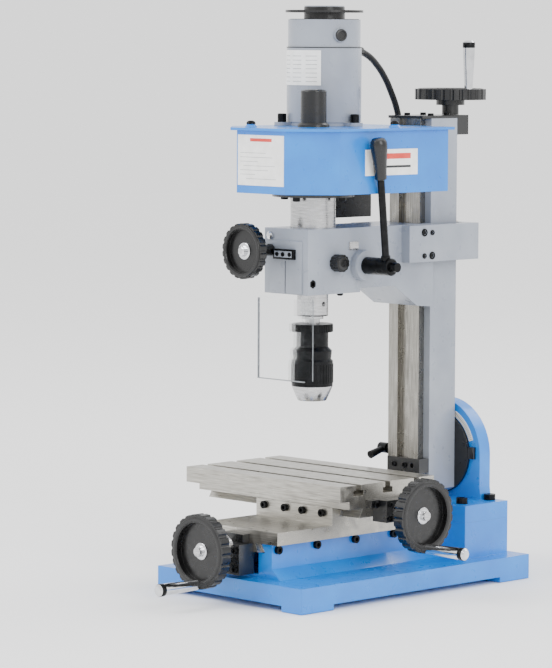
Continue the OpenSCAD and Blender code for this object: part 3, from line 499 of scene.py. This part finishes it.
class MillFinishSettings(bpy.types.PropertyGroup):
    """Colours of the painted castings, as sRGB hex."""

    blue_light: bpy.props.StringProperty(
        name="Blue", description="Blue enamel where it is lightest", default="#0084e0")
    blue_dark: bpy.props.StringProperty(
        name="Blue shade", description="Blue enamel where it is deepest", default="#0070cc")
    grey_light: bpy.props.StringProperty(
        name="Grey", description="Grey enamel where it is lightest", default="#969ca6")
    grey_dark: bpy.props.StringProperty(
        name="Grey shade", description="Grey enamel where it is deepest", default="#848a95")


class MillSizeSettings(bpy.types.PropertyGroup):
    """Sizes of the fittings."""

    plate_t: bpy.props.FloatProperty(
        name="Plate thickness", description="Thickness of the printed plates",
        default=0.0006, unit="LENGTH")
    print_t: bpy.props.FloatProperty(
        name="Print thickness", description="How far the print stands on a plate",
        default=0.00015, precision=5, unit="LENGTH")
    thread_pitch: bpy.props.FloatProperty(
        name="Thread pitch", description="Pitch of the feed screws", default=0.002, unit="LENGTH")
    dial_marks: bpy.props.IntProperty(
        name="Dial marks", description="Divisions on a feed dial", default=40, min=10)
    sleeve_ribs: bpy.props.IntProperty(
        name="Sleeve ribs", description="Grip ribs round the chuck's sleeve", default=36, min=12)


class MillStageSettings(bpy.types.PropertyGroup):
    """Camera and light."""

    lens: bpy.props.FloatProperty(
        name="Lens", description="Focal length on a 36 mm sensor", default=182.4,
        subtype="DISTANCE_CAMERA")
    distance: bpy.props.FloatProperty(
        name="Distance", description="Camera to the point it is aimed at", default=3.6729,
        unit="LENGTH")
    azimuth: bpy.props.FloatProperty(
        name="Azimuth", description="Camera's turn round the machine", default=math.radians(44.99),
        subtype="ANGLE")
    elevation: bpy.props.FloatProperty(
        name="Elevation", description="Camera's height above level", default=math.radians(4.72),
        subtype="ANGLE")


# ---------- operators ----------


class MILL_OT_finishes(bpy.types.Operator):
    """Gives every part of the frame its finish"""

    bl_idname = "mill.finishes"
    bl_label = "Finishes"

    def execute(self, context):
        finishes.update(make_finishes(context.scene.mill_finish))
        slots = {row["node"]: row["material_slot"] for row in frame["record"]["subparts"]}
        own = {"column_ways": "scraped_way"}
        for node, piece in frame["nodes"].items():
            finish = finishes[own.get(node, slots[node])]
            for index in range(len(piece.material_slots)):
                piece.material_slots[index].material = finish
        return {"FINISHED"}


class MILL_OT_plates(bpy.types.Operator):
    """Printed plates on the belt housing and the motor, with plain bars in place of words"""

    bl_idname = "mill.plates"
    bl_label = "Printed plates"

    def execute(self, context):
        size = context.scene.mill_size
        plate_t, print_t = size.plate_t / MM, size.print_t / MM
        low, high = box_mm("belt_housing")
        front = low.y
        top = high.z - 4.5
        bottom = low.z + 8.5
        plate = bevelled_block((-35, front - plate_t, bottom), (35, front + 0.2, top),
                               0.15, 1.2, 0.05)
        finish_piece(plate, "data_plate", "head", "white_print")
        face = front - plate_t - 0.05
        band = self.bar_y(-16, 17, top - 7, top - 3.5, face, print_t)
        finish_piece(band, "data_plate_band", "head", "red_print")
        lines = [(-31, 8), (-31, 18), (-31, -4), (-26, 22), (-31, 12), (-31, -8), (-22, 24)]
        rows = []
        for row, (left, right) in enumerate(lines):
            level = top - 19 - row * LINE_PITCH
            rows.append(self.bar_y(left, right, level - 0.35, level, face, print_t))
        finish_piece(join_pieces(rows), "data_plate_lines", "head", "grey_print_and_sheen")

        side = high.x
        plate = bevelled_block((side - 0.2, -54, low.z + 19.5),
                               (side + plate_t, 27, low.z + 47.5), 0.15, 1.2, 0.05, "X")
        finish_piece(plate, "side_plate", "head", "white_print")
        face = side + plate_t
        band = bevelled_block((face - 0.1, -34, low.z + 37),
                              (face + print_t, 16, low.z + 43), 0.03)
        finish_piece(band, "side_plate_band", "head", "red_print")
        band = bevelled_block((face - 0.1, -34, low.z + 27.5),
                              (face + print_t, 16, low.z + 30), 0.03)
        finish_piece(band, "side_plate_line", "head", "dark_print")
        self.motor_plate(plate_t, print_t)
        return {"FINISHED"}

    def bar_y(self, left, right, low, high, face, print_t):
        """A printed bar on a plate that faces -Y."""
        return bevelled_block((left, face - print_t, low), (right, face + 0.1, high), 0.03)

    def motor_plate(self, plate_t, print_t):
        """A curved plate on the motor, with rows of plain lines."""
        start = math.radians(-132)
        plate = curved_band(MOTOR_AXIS, MOTOR_R - 0.2, MOTOR_R + plate_t, 549, 587, 24,
                            start, math.radians(82))
        finish_piece(plate, "motor_plate", "head", "white_print")
        rows = []
        outer = MOTOR_R + plate_t + print_t
        for row in range(7):
            level = 581 - row * LINE_PITCH
            for column in range(3):
                rows.append(curved_band(MOTOR_AXIS, MOTOR_R, outer, level - 0.5, level, 6,
                                        start + math.radians(6 + 26 * column),
                                        math.radians(18)))
        finish_piece(join_pieces(rows), "motor_plate_lines", "head", "grey_print_and_sheen")


class MILL_OT_dials(bpy.types.Operator):
    """Graduations on the feed dials and the tilt scale"""

    bl_idname = "mill.dials"
    bl_label = "Dials and scales"

    def execute(self, context):
        count = context.scene.mill_size.dial_marks
        for dial, axis, body in (("x_dial", "X", "x_wheel"), ("y_dial", "-Y", "y_wheel")):
            low, high = box_mm(dial)
            centre = (low + high) / 2
            if axis == "X":
                near = Vector((low.x + 0.4, centre.y, centre.z))
            else:
                near = Vector((centre.x, high.y - 0.4, centre.z))
            radius = (high.z - low.z) / 2
            fine = ring_of_marks(near, axis, radius, (0.3, 0.35, 3.5), count)
            bold = ring_of_marks(near, axis, radius, (0.32, 0.5, 6), count // 5)
            finish_piece(join_pieces([fine, bold]), dial + "_marks", body, "dark_print")
            knurl = ring_of_marks(near + AXES[axis] * 8.5, axis, radius, (0.7, 0.9, 2.6),
                                  60, edge=0.2)
            finish_piece(knurl, dial + "_knurl", body, "ground_steel")
        self.tilt_marks()
        return {"FINISHED"}

    def tilt_marks(self):
        """Degree marks on the arc beside the tilt disc, and the black pointer over its block."""
        low, high = box_mm("tilt_scale")
        disc_low, disc_high = box_mm("tilt_disc")
        radius = (disc_high.x - disc_low.x) / 2
        face = (0, disc_high.y - 0.3, TILT_Z)
        marks = ring_of_marks(face, "-Y", radius + 4, (4.5, 0.5, 0.15), 19,
                              start=math.radians(20), sweep=math.radians(42))
        finish_piece(marks, "tilt_scale_marks", "base", "dark_print")
        block = bevelled_block((high.x - 7.3, low.y - 0.4, TILT_Z - 4.2),
                               (high.x + 0.6, high.y - 0.1, TILT_Z + 9.2), 0.4, 1.2, 0.3)
        finish_piece(block, "tilt_pointer", "base", "black_paint")


class MILL_OT_threads(bpy.types.Operator):
    """Threads on the column's screw and the cross feed's screw"""

    bl_idname = "mill.threads"
    bl_label = "Screw threads"

    def execute(self, context):
        pitch = context.scene.mill_size.thread_pitch / MM
        low, high = box_mm("z_feed_screw")
        centre = (low + high) / 2
        start = Vector((centre.x, centre.y, low.z + 3))
        cap_low = box_mm("column_cap")[0].z
        nut_low, nut_high = box_mm("z_nut")
        radius = (high.x - low.x) / 2 - 0.35
        lower = thread_ridge(start, "Z", radius, pitch, nut_low.z - start.z)
        start = Vector((centre.x, centre.y, nut_high.z + 1))
        upper = thread_ridge(start, "Z", radius, pitch, cap_low - start.z - 4)
        finish_piece(join_pieces([lower, upper]), "z_screw_thread", "z_wheel", "ground_steel")
        low, high = box_mm("y_feed_screw")
        centre = (low + high) / 2
        saddle_front = box_mm("saddle")[0].y
        start = Vector((centre.x, saddle_front + 6, centre.z))
        ridge = thread_ridge(start, "Y", (high.x - low.x) / 2 - 0.35, pitch,
                             box_mm("y_nut")[0].y - start.y - 34)
        finish_piece(ridge, "y_screw_thread", "y_wheel", "ground_steel")
        return {"FINISHED"}


class MILL_OT_wheels(bpy.types.Operator):
    """Nuts, washers and faces of the handwheels, and the ends of their grips"""

    bl_idname = "mill.wheels"
    bl_label = "Handwheel fittings"

    def execute(self, context):
        self.fit("x_handwheel", "X", "x_wheel")
        self.fit("y_handwheel", "-Y", "y_wheel")
        self.fit("z_handwheel", "Z", "z_wheel")
        self.fit("fine_feed_shaft", "-Y", "fine_feed")
        self.grip_cap("x_handle", "X", "x_grip")
        self.grip_cap("y_handle", "-Y", "y_grip")
        self.grip_cap("z_handle", "Z", "z_grip")
        return {"FINISHED"}

    def fit(self, node, axis, body):
        """A washer and a domed nut in a wheel's dish, and a raised ring round the dish."""
        low, high = box_mm(node)
        direction = AXES[axis]
        centre = (low + high) / 2
        if node == "fine_feed_shaft":
            centre = Vector((FINE_FEED.x, low.y, FINE_FEED.z))
            radius = (high.z - low.z) / 2
            dish = 5
        else:
            radius = (high.z - low.z) / 2 if axis != "Z" else (high.x - low.x) / 2
            dish = 6.6
        rim = outer_end(low, high, centre, direction)
        base = rim - direction * dish
        washer = [(-0.2, 9), (1.0, 9), (1.4, 8.4), (1.4, 6)]
        nut = [(1.2, 5.6), (4.8, 5.6), (5.6, 4.6), (5.8, 3.2), (5.2, 2.6)]
        parts = [turned_shape(base, axis, washer, 36), turned_shape(base, axis, nut, 6)]
        finish_piece(join_pieces(parts), node + "_nut", body, "chrome_plate")
        lip_inner = radius * 0.8
        lip_outer = radius * 0.93
        lip = [(-0.4, lip_outer), (0.5, lip_outer - 0.6), (0.9, lip_outer - 2.2),
               (0.5, lip_inner + 0.5), (-0.4, lip_inner - 0.1), (-2.2, lip_inner - 0.3)]
        ring = self.spun_ring(rim, axis, lip)
        finish_piece(ring, node + "_lip", body, "black_plastic")

    def spun_ring(self, place, axis, outline):
        """A ring from an outline of (height, radius) in mm that is spun all the way round."""
        clear_selection()
        bpy.ops.mesh.primitive_circle_add(vertices=len(outline), radius=1, fill_type="NGON")
        piece = bpy.context.object
        for vertex, (height, radius) in zip(piece.data.vertices, outline):
            vertex.co = (radius * MM, 0, height * MM)
        bpy.ops.object.mode_set(mode="EDIT")
        bpy.ops.mesh.select_all(action="SELECT")
        bpy.ops.mesh.spin(steps=72, angle=2 * math.pi, center=(0, 0, 0), axis=(0, 0, 1))
        bpy.ops.mesh.select_all(action="SELECT")
        bpy.ops.mesh.remove_doubles(threshold=WELD)
        bpy.ops.mesh.select_all(action="DESELECT")
        bpy.ops.mesh.select_interior_faces()
        bpy.ops.mesh.delete(type="FACE")
        bpy.ops.object.mode_set(mode="OBJECT")
        settle(piece, aim_matrix(place, axis))
        return piece

    def grip_cap(self, node, axis, body):
        """The black band round the outer end of a grip."""
        low, high = box_mm(node)
        direction = AXES[axis]
        centre = (low + high) / 2
        place = outer_end(low, high, centre, direction)
        radius = min(high - low) / 2
        cap = [(-8.2, radius), (-7.6, radius + 0.4), (-2.6, radius + 0.4), (-2.0, radius)]
        finish_piece(turned_shape(place, axis, cap, 32), node + "_end", body, "black_steel")


class MILL_OT_chuck(bpy.types.Operator):
    """Ribs, knurl and nose of the keyless chuck, and the ring under the quill"""

    bl_idname = "mill.chuck"
    bl_label = "Chuck"

    def execute(self, context):
        low, high = box_mm("chuck_sleeve")
        radius = (high.x - low.x) / 2
        place = Vector((SPINDLE.x, SPINDLE.y, low.z + 3))
        ribs = ring_of_marks(place, "Z", radius, (1.0, 2.2, 21),
                             context.scene.mill_size.sleeve_ribs, edge=0.35)
        finish_piece(ribs, "chuck_sleeve_ribs", "chuck_sleeve", "black_steel")
        body_low, body_high = box_mm("chuck_body")
        place = Vector((SPINDLE.x, SPINDLE.y, body_high.z - 8.6))
        rim = ring_of_marks(place, "Z", 22, (0.9, 1.6, 8), 48, edge=0.25)
        finish_piece(rim, "chuck_disc_knurl", "spindle", "black_steel")
        cone = turned_shape((SPINDLE.x, SPINDLE.y, body_low.z), "Z",
                            [(0, 15.6), (1.2, 16.4), (15.2, 22.4), (15.9, 22.3), (15.9, 19)], 64)
        mouth_z = (body_low.z + 1) * MM
        edit_faces(cone, lambda face: abs(face.normal.z) > 0.99 and face.center.z < mouth_z)
        bpy.ops.mesh.inset(thickness=8.4 * MM)
        bpy.ops.transform.translate(value=(0, 0, 12 * MM))
        bpy.ops.object.mode_set(mode="OBJECT")
        finish_piece(cone, "chuck_nose_cone", "spindle", "ground_steel")
        quill_low = box_mm("quill")[0].z
        ring = curved_band(SPINDLE, 12.4, 16.8, quill_low - 1.2, quill_low + 0.3, 48)
        finish_piece(ring, "quill_bearing_ring", "quill", "black_steel")
        return {"FINISHED"}


class MILL_OT_motor(bpy.types.Operator):
    """The motor's fan cover, seam, brush cap and screws"""

    bl_idname = "mill.motor"
    bl_label = "Motor fittings"

    def execute(self, context):
        low, high = box_mm("motor")
        axis = MOTOR_AXIS
        hub = turned_shape((axis.x, axis.y, high.z - 15), "Z",
                           [(0, 22.6), (13.6, 22.4), (14.7, 21.2), (14.8, 14), (13.4, 12)], 56)
        finish_piece(hub, "motor_fan_hub", "head", "black_plastic")
        disc = curved_band(axis, 22.0, 42.7, high.z - 7.4, high.z - 4.7, 72)
        finish_piece(disc, "motor_fan_disc", "head", "black_plastic")
        slots = ring_of_marks((axis.x, axis.y, high.z - 15.1), "Z", 32, (12, 2.4, 0.7), 24)
        finish_piece(slots, "motor_vents", "head", "dark_print")
        seam = curved_band(axis, 39.5, 41.25, 589.5, 590.6, 72)
        finish_piece(seam, "motor_seam", "head", "dark_print")
        caps = []
        for angle in (-20, 160):
            outward = around(angle)
            place = axis + outward * 42.8 + Vector((0, 0, high.z - 32))
            cap = turned_shape((0, 0, 0), "Z",
                               [(0, 6.8), (1.3, 6.6), (1.8, 5.8), (1.8, 4.4), (1.0, 4.2)], 32)
            turned = Vector((0, 0, 1)).rotation_difference(outward).to_matrix().to_4x4()
            settle(cap, Matrix.Translation(place * MM) @ turned)
            caps.append(cap)
        finish_piece(join_pieces(caps), "motor_brush_caps", "head", "black_plastic")
        screws = []
        for angle in (0, 120, 240):
            place = axis + around(angle) * 47.5
            place.z = low.z + 3.8
            screws.append(socket_screw(place, "Z", 4.9, 9.6))
        finish_piece(join_pieces(screws), "motor_flange_screws", "head", "black_steel")
        return {"FINISHED"}


class MILL_OT_housing(bpy.types.Operator):
    """Screws, flange and caps of the belt housing"""

    bl_idname = "mill.housing"
    bl_label = "Belt housing fittings"

    def execute(self, context):
        low, high = box_mm("belt_housing")
        lid_top = box_mm("belt_lid")[1].z
        heads = []
        for x, y in ((-32, low.y + 16), (64, 6), (-60, high.y - 12)):
            place = Vector((x, y, lid_top - 0.4))
            heads.append(turned_shape(
                place, "Z", [(0, 5.2), (1.4, 5.0), (3.0, 3.8), (3.6, 2.2), (3.0, 1.6)], 28))
        finish_piece(join_pieces(heads), "lid_screw_heads", "head", "black_steel")
        base = Vector((SPINDLE.x, SPINDLE.y, box_mm("drawbar_cap")[0].z))
        foot = turned_shape(base, "Z", [(0, 17.4), (2.6, 17.2), (4.6, 15.2), (4.7, 14.2)], 48)
        finish_piece(foot, "drawbar_cap_foot", "head", "black_plastic")
        top = box_mm("drawbar_cap")[1].z
        dome = turned_shape((SPINDLE.x, SPINDLE.y, top), "Z",
                            [(-2.2, 14.1), (-1.4, 13.9), (-0.2, 12.4), (0.5, 9.6), (0.6, 3)], 48)
        finish_piece(dome, "drawbar_cap_top", "head", "black_plastic")
        flange_top = box_mm("quill_housing")[1].z
        ring = curved_band(SPINDLE, 25.2, 44.4, flange_top - 4.9, flange_top - 0.3, 72)
        finish_piece(ring, "housing_flange", "head", "black_paint")
        bolts = []
        for angle in range(15, 375, 90):
            place = SPINDLE + around(angle) * 36
            place.z = flange_top - 4.8
            bolts.append(socket_screw(place, "-Z", 4.2, 4.5))
        finish_piece(join_pieces(bolts), "housing_flange_bolts", "head", "black_steel")
        return {"FINISHED"}


class MILL_OT_head(bpy.types.Operator):
    """Small fittings on the head: clamp bar, pointer plate, screws and the yoke's screws"""

    bl_idname = "mill.head"
    bl_label = "Head fittings"

    def execute(self, context):
        low, high = box_mm("head_casting")
        front = low.y
        plate_front = box_mm("front_plate")[0].y
        bar = bevelled_block((-14.3, plate_front - 0.3, 363.2),
                             (16.3, front - 1.4, 374.3), 0.5, 2.2, -0.4)
        finish_piece(bar, "quill_clamp_bar", "head", "black_steel")
        screws = [socket_screw((x, plate_front - 0.2, 368.7), "-Y", 2.4, 0.9)
                  for x in (-8, 1, 11)]
        finish_piece(join_pieces(screws), "quill_clamp_screws", "head", "black_steel")
        pin = turned_shape((-24, front - 0.2, 388), "-Y",
                           [(0, 4.4), (2.2, 4.2), (3.2, 3.0), (3.3, 1.8)], 28)
        finish_piece(pin, "fine_feed_pointer", "head", "chrome_plate")
        plate = bevelled_block((HEAD_HALF - 0.2, -32, 372), (HEAD_HALF + 1.2, -18, 381),
                               0.3, 1.5, 0.3, "X")
        finish_piece(plate, "depth_pointer", "head", "ground_steel")
        plug = turned_shape((HEAD_HALF - 5, front + 8, 337.5), "X",
                            [(0, 4.9), (4.2, 4.8), (4.8, 4.2), (4.8, 2.6), (2.0, 2.4)], 28)
        finish_piece(plug, "head_clamp_screw", "head", "black_steel")
        nub = turned_shape((18, -30, low.z + 22), "-Z",
                           [(-0.5, 3.6), (3, 3.5), (4, 2.4), (4.1, 1)], 24)
        finish_piece(nub, "head_stop_screw", "head", "black_steel")
        self.yoke()
        self.boss(high.x)
        return {"FINISHED"}

    def yoke(self):
        """Black socket heads on both cheeks of the yoke, large and small in turn."""
        heads = []
        for side, axis in ((-1, "-X"), (1, "X")):
            for y, z, radius in ((74.5, 387.5, 4.4), (87, 387, 3.0),
                                 (74.5, 361.7, 3.0), (87, 361.7, 4.4)):
                heads.append(socket_screw((side * YOKE_HALF, y, z), axis, radius, 1.5))
        finish_piece(join_pieces(heads), "yoke_screws", "head", "black_steel")
        gib_x = box_mm("z_yoke")[0].x + 0.7
        gibs = [socket_screw((gib_x, y, 375), "-X", 2.6, 1.6) for y in (110, 140)]
        finish_piece(join_pieces(gibs), "yoke_gib_screws", "head", "black_steel")

    def boss(self, end_x):
        """A turned collar where the feed lever's shaft leaves its boss."""
        collar = turned_shape((end_x - 0.6, PINION.y, PINION.z), "X",
                              [(-6, 16.9), (-0.6, 16.7), (0.3, 15.4), (0.4, 9.8)], 56)
        finish_piece(collar, "feed_boss_face", "head", "grey_paint")


class MILL_OT_lever(bpy.types.Operator):
    """The feed lever's grip, ferrule and hub screw, and the lock knob's cap"""

    bl_idname = "mill.lever"
    bl_label = "Lever fittings"

    def execute(self, context):
        root = Vector((72, PINION.y, PINION.z)) * MM
        turn = Matrix.Rotation(LEVER_TILT, 4, "X") @ Matrix.Rotation(LEVER_LEAN, 4, "Y")
        grip = turned_shape((0, 0, 0), "Z",
                            [(99, 5.0), (100, 6.4), (112, 7.0), (126, 8.4), (136, 9.3),
                             (141, 9.0), (144, 7.0), (144.8, 4.4)])
        ferrule = turned_shape((0, 0, 0), "Z", [(8.5, 5.2), (12, 5.2), (13, 4.4)], 28)
        for piece in (grip, ferrule):
            settle(piece, Matrix.Translation(root) @ turn)
        finish_piece(grip, "feed_lever_grip", "feed_lever", "black_plastic")
        finish_piece(ferrule, "feed_lever_ferrule", "feed_lever", "black_steel")
        hub = turned_shape((80, PINION.y, PINION.z), "X", [(-0.4, 9.2), (0.6, 8.2), (0.7, 5.6)])
        finish_piece(hub, "feed_lever_hub_edge", "feed_lever", "black_steel")
        knob_end = box_mm("quill_lock")[1].x
        cap = turned_shape((knob_end - 0.4, QUILL_LOCK.y, QUILL_LOCK.z), "X",
                           [(0, 7.6), (0.8, 7.0), (1.2, 5.6), (1.2, 3.4), (0.2, 3.0)], 32)
        finish_piece(cap, "quill_lock_cap", "quill_lock", "black_plastic")
        return {"FINISHED"}


class MILL_OT_guard(bpy.types.Operator):
    """Grey rods along the clear guard's outline edges: painted sheen standing in for the light a
    clear sheet catches where it is seen edge-on
    """

    bl_idname = "mill.guard"
    bl_label = "Guard edge sheen, painted"

    def execute(self, context):
        low, high = box_mm("chuck_guard")
        top = box_mm("head_casting")[0].z + 16
        left, right, front, back = -43, 27, low.y, high.y - 1.5
        half = 0.5
        # Rods on the left front, bottom front and right back edges, where the guard's outline falls
        # from the camera's side: painted edge sheen, not parts of the guard.
        corners = (((left - half, front - half, low.z), (left + half, front + 2.2, top)),
                   ((left - half, front - half, low.z - half),
                    (right + half, front + 2.2, low.z + half)),
                   ((right - half, back - half, low.z), (right + half, back, top)))
        painted_sheen_rods = [bevelled_block(near, far, 0.2) for near, far in corners]
        finish_piece(join_pieces(painted_sheen_rods), "guard_edge_painted_sheen", "guard", "grey_print_and_sheen")
        return {"FINISHED"}


class MILL_OT_switch(bpy.types.Operator):
    """Face plate, screws, glands and button caps of the switch box"""

    bl_idname = "mill.switch"
    bl_label = "Switch box fittings"

    def execute(self, context):
        low, high = box_mm("switch_box")
        plate = bevelled_block((low.x + 4, SWITCH_FACE_Y - 1.2, low.z + 5),
                               (high.x - 4, SWITCH_FACE_Y + 0.3, GLAND_Z), 0.4, 1.5, 0.3)
        finish_piece(plate, "switch_face_plate", "head", "black_paint")
        screws = [socket_screw((x, SWITCH_FACE_Y - 0.1, z), "-Y", 2.4, 1.2)
                  for x in (low.x + 3.2, high.x - 3.2) for z in (low.z + 3, high.z - 3)]
        finish_piece(join_pieces(screws), "switch_box_screws", "head", "black_steel")
        glands = []
        for z in (GLAND_Z, low.z + 14):
            glands.append(turned_shape((GLAND_X, SWITCH_BACK_Y, z), "Y",
                                       [(0, 9), (3.4, 9), (4, 8.2), (4, 4.2)], 6))
        finish_piece(join_pieces(glands), "switch_box_glands", "head", "black_plastic")
        for name, x, finish in (("start_button", -110, "green_plastic"),
                                ("stop_button", -91, "red_plastic")):
            cap = turned_shape((x, box_mm(name)[0].y, BUTTON_Z), "-Y",
                               [(-2.5, 6.3), (0.2, 6.2), (0.9, 5.0), (1.0, 2.6)], 32)
            finish_piece(cap, name + "_cap", name, finish)
        return {"FINISHED"}


class MILL_OT_lead(bpy.types.Operator):
    """The motor's lead on its route to the switch box, with its strain relief"""

    bl_idname = "mill.lead"
    bl_label = "Motor lead"

    def execute(self, context):
        route = [(-36, 39, 586), (-36, 52, 586), (-37, 68, 581), (-39, 84, 571),
                 (-41, 99, 557), (-43, 112, 540), (-45, 123, 522), (-49, 132, 504),
                 (-56, 138, 486), (-67, 141, 470), (-80, 140.5, 457), (-92, 136.5, 447),
                 (-99.5, 129.5, 442), (GLAND_X, 122, GLAND_Z), (GLAND_X, 116.5, GLAND_Z)]
        curve = bpy.data.curves.new("motor_cable", "CURVE")
        curve.dimensions = "3D"
        curve.bevel_depth = 3.6 * MM
        curve.bevel_resolution = 6
        curve.use_fill_caps = True
        spline = curve.splines.new("BEZIER")
        spline.bezier_points.add(len(route) - 1)
        for point, place in zip(spline.bezier_points, route):
            point.co = Vector(place) * MM
            point.handle_left_type = "AUTO"
            point.handle_right_type = "AUTO"
        piece = bpy.data.objects.new("motor_cable", curve)
        context.scene.collection.objects.link(piece)
        curve.materials.append(finishes["lead_rubber"])
        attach(piece, "head")
        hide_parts("motor_lead")
        relief_shape = turned_shape((MOTOR_AXIS.x, 45, 586), "Y",
                                    [(-0.5, 6.4), (3, 6.0), (4, 5.2), (12, 4.4), (13, 3.7)], 32)
        finish_piece(relief_shape, "motor_cable_relief", "head", "black_plastic")
        return {"FINISHED"}


class MILL_OT_column(bpy.types.Operator):
    """Screws on the column's cap and foot, and on the brackets of the two lower feed screws"""

    bl_idname = "mill.column"
    bl_label = "Column and bracket screws"

    def execute(self, context):
        low, high = box_mm("column_cap")
        heads = [socket_screw((x, y, high.z), "Z", 3.4, 2.6)
                 for x in (-18, 18) for y in (112, 138)]
        finish_piece(join_pieces(heads), "column_cap_screws", "column", "black_steel")
        low, high = box_mm("column_foot")
        heads = [socket_screw((x, low.y, 125), "-Y", 3.2, 1.8) for x in (-12, 4)]
        finish_piece(join_pieces(heads), "column_foot_screws", "column", "black_steel")
        low, high = box_mm("y_bracket")
        heads = [socket_screw((x, low.y, z), "-Y", 3.6, 3)
                 for x in (-17.5, 17.5) for z in (38, 58)]
        finish_piece(join_pieces(heads), "y_bracket_screws", "saddle", "black_steel")
        low, high = box_mm("x_brackets")
        heads = [socket_screw((high.x - 12, y, 102.5), "X", 3.4, 3) for y in (-50.5, 5.5)]
        heads += [socket_screw((high.x, y, z), "X", 3.0, 1.4)
                  for y in (-40, -5) for z in (87.5, 102.5)]
        finish_piece(join_pieces(heads), "x_bracket_screws", "table", "black_steel")
        return {"FINISHED"}


class MILL_OT_stage(bpy.types.Operator):
    """Pale floor, soft light and the camera"""

    bl_idname = "mill.stage"
    bl_label = "Stage"

    def execute(self, context):
        clear_selection()
        bpy.ops.mesh.primitive_plane_add(size=14, location=(0, 0, -0.0005))
        floor = context.object
        floor.name = "studio_floor"
        material = start_material("studio_paper", "#ffffff", 0.0, 0.95)[0]
        floor.data.materials.append(material)
        world = bpy.data.worlds.new("studio_world")
        world.use_nodes = True
        sky = world.node_tree.nodes["Background"]
        sky.inputs["Color"].default_value = (1.0, 1.0, 1.0, 1.0)
        sky.inputs["Strength"].default_value = 1.6
        context.scene.world = world
        self.light("key_softbox", (-1.2, -2.6, 2.4), 1.6, 62)
        self.light("side_softbox", (2.8, -0.6, 1.6), 1.4, 44)
        self.light("back_softbox", (0.4, 2.4, 2.2), 1.6, 30)
        self.camera(context)
        return {"FINISHED"}

    def light(self, name, place, size, power):
        """A square soft light aimed at the head of the machine."""
        bpy.ops.object.light_add(type="AREA", location=place)
        light = bpy.context.object
        light.name = name
        light.data.shape = "SQUARE"
        light.data.size = size
        light.data.energy = power
        aim = Vector((0, 0, 0.3)) - Vector(place)
        light.rotation_euler = aim.to_track_quat("-Z", "Y").to_euler()

    def camera(self, context):
        """The camera, aimed at a point on the spindle's line, with the fitted frame shift."""
        stage = context.scene.mill_stage
        aim = Vector((0.0, -0.054, 0.3))
        az, el = stage.azimuth, stage.elevation
        back = Vector((math.sin(az) * math.cos(el), -math.cos(az) * math.cos(el), math.sin(el)))
        right = Vector((math.cos(az), math.sin(az), 0.0))
        up = back.cross(right)
        roll = math.radians(0.3)
        level = right * math.cos(roll) + up * math.sin(roll)
        upright = up * math.cos(roll) - right * math.sin(roll)
        turn = Matrix((level, upright, back)).transposed().to_4x4()
        bpy.ops.object.camera_add()
        camera = context.object
        camera.name = "studio_camera"
        camera.matrix_world = Matrix.Translation(aim + back * stage.distance) @ turn
        camera.data.lens = stage.lens
        camera.data.sensor_width = 36
        camera.data.shift_x = -0.0547
        camera.data.shift_y = -0.0275
        camera.data.clip_end = 50
        context.scene.camera = camera


class MILL_PT_panel(bpy.types.Panel):
    """Lists the machine's settings and the steps that build it"""

    bl_idname = "MILL_PT_panel"
    bl_label = "Milling machine"
    bl_space_type = "VIEW_3D"
    bl_region_type = "UI"
    bl_category = "Mill"

    def draw(self, context):
        layout = self.layout
        for group in (context.scene.mill_finish, context.scene.mill_size, context.scene.mill_stage):
            box = layout.box()
            for name in group.__annotations__:
                box.prop(group, name)
        for step in STEPS:
            layout.operator(step.bl_idname)


STEPS = (MILL_OT_finishes, MILL_OT_plates, MILL_OT_dials, MILL_OT_threads, MILL_OT_wheels,
         MILL_OT_chuck, MILL_OT_motor, MILL_OT_housing, MILL_OT_head, MILL_OT_lever,
         MILL_OT_guard, MILL_OT_switch, MILL_OT_lead, MILL_OT_column, MILL_OT_stage)
GROUPS = (MillFinishSettings, MillSizeSettings, MillStageSettings)


def register():
    for made in (*GROUPS, *STEPS, MILL_PT_panel):
        bpy.utils.register_class(made)
    bpy.types.Scene.mill_finish = bpy.props.PointerProperty(type=MillFinishSettings)
    bpy.types.Scene.mill_size = bpy.props.PointerProperty(type=MillSizeSettings)
    bpy.types.Scene.mill_stage = bpy.props.PointerProperty(type=MillStageSettings)


def unregister():
    del bpy.types.Scene.mill_stage
    del bpy.types.Scene.mill_size
    del bpy.types.Scene.mill_finish
    for made in reversed((*GROUPS, *STEPS, MILL_PT_panel)):
        bpy.utils.unregister_class(made)


def main():
    register()
    for step in STEPS:
        group, name = step.bl_idname.split(".")
        getattr(getattr(bpy.ops, group), name)()


if __name__ == "__main__":
    main()
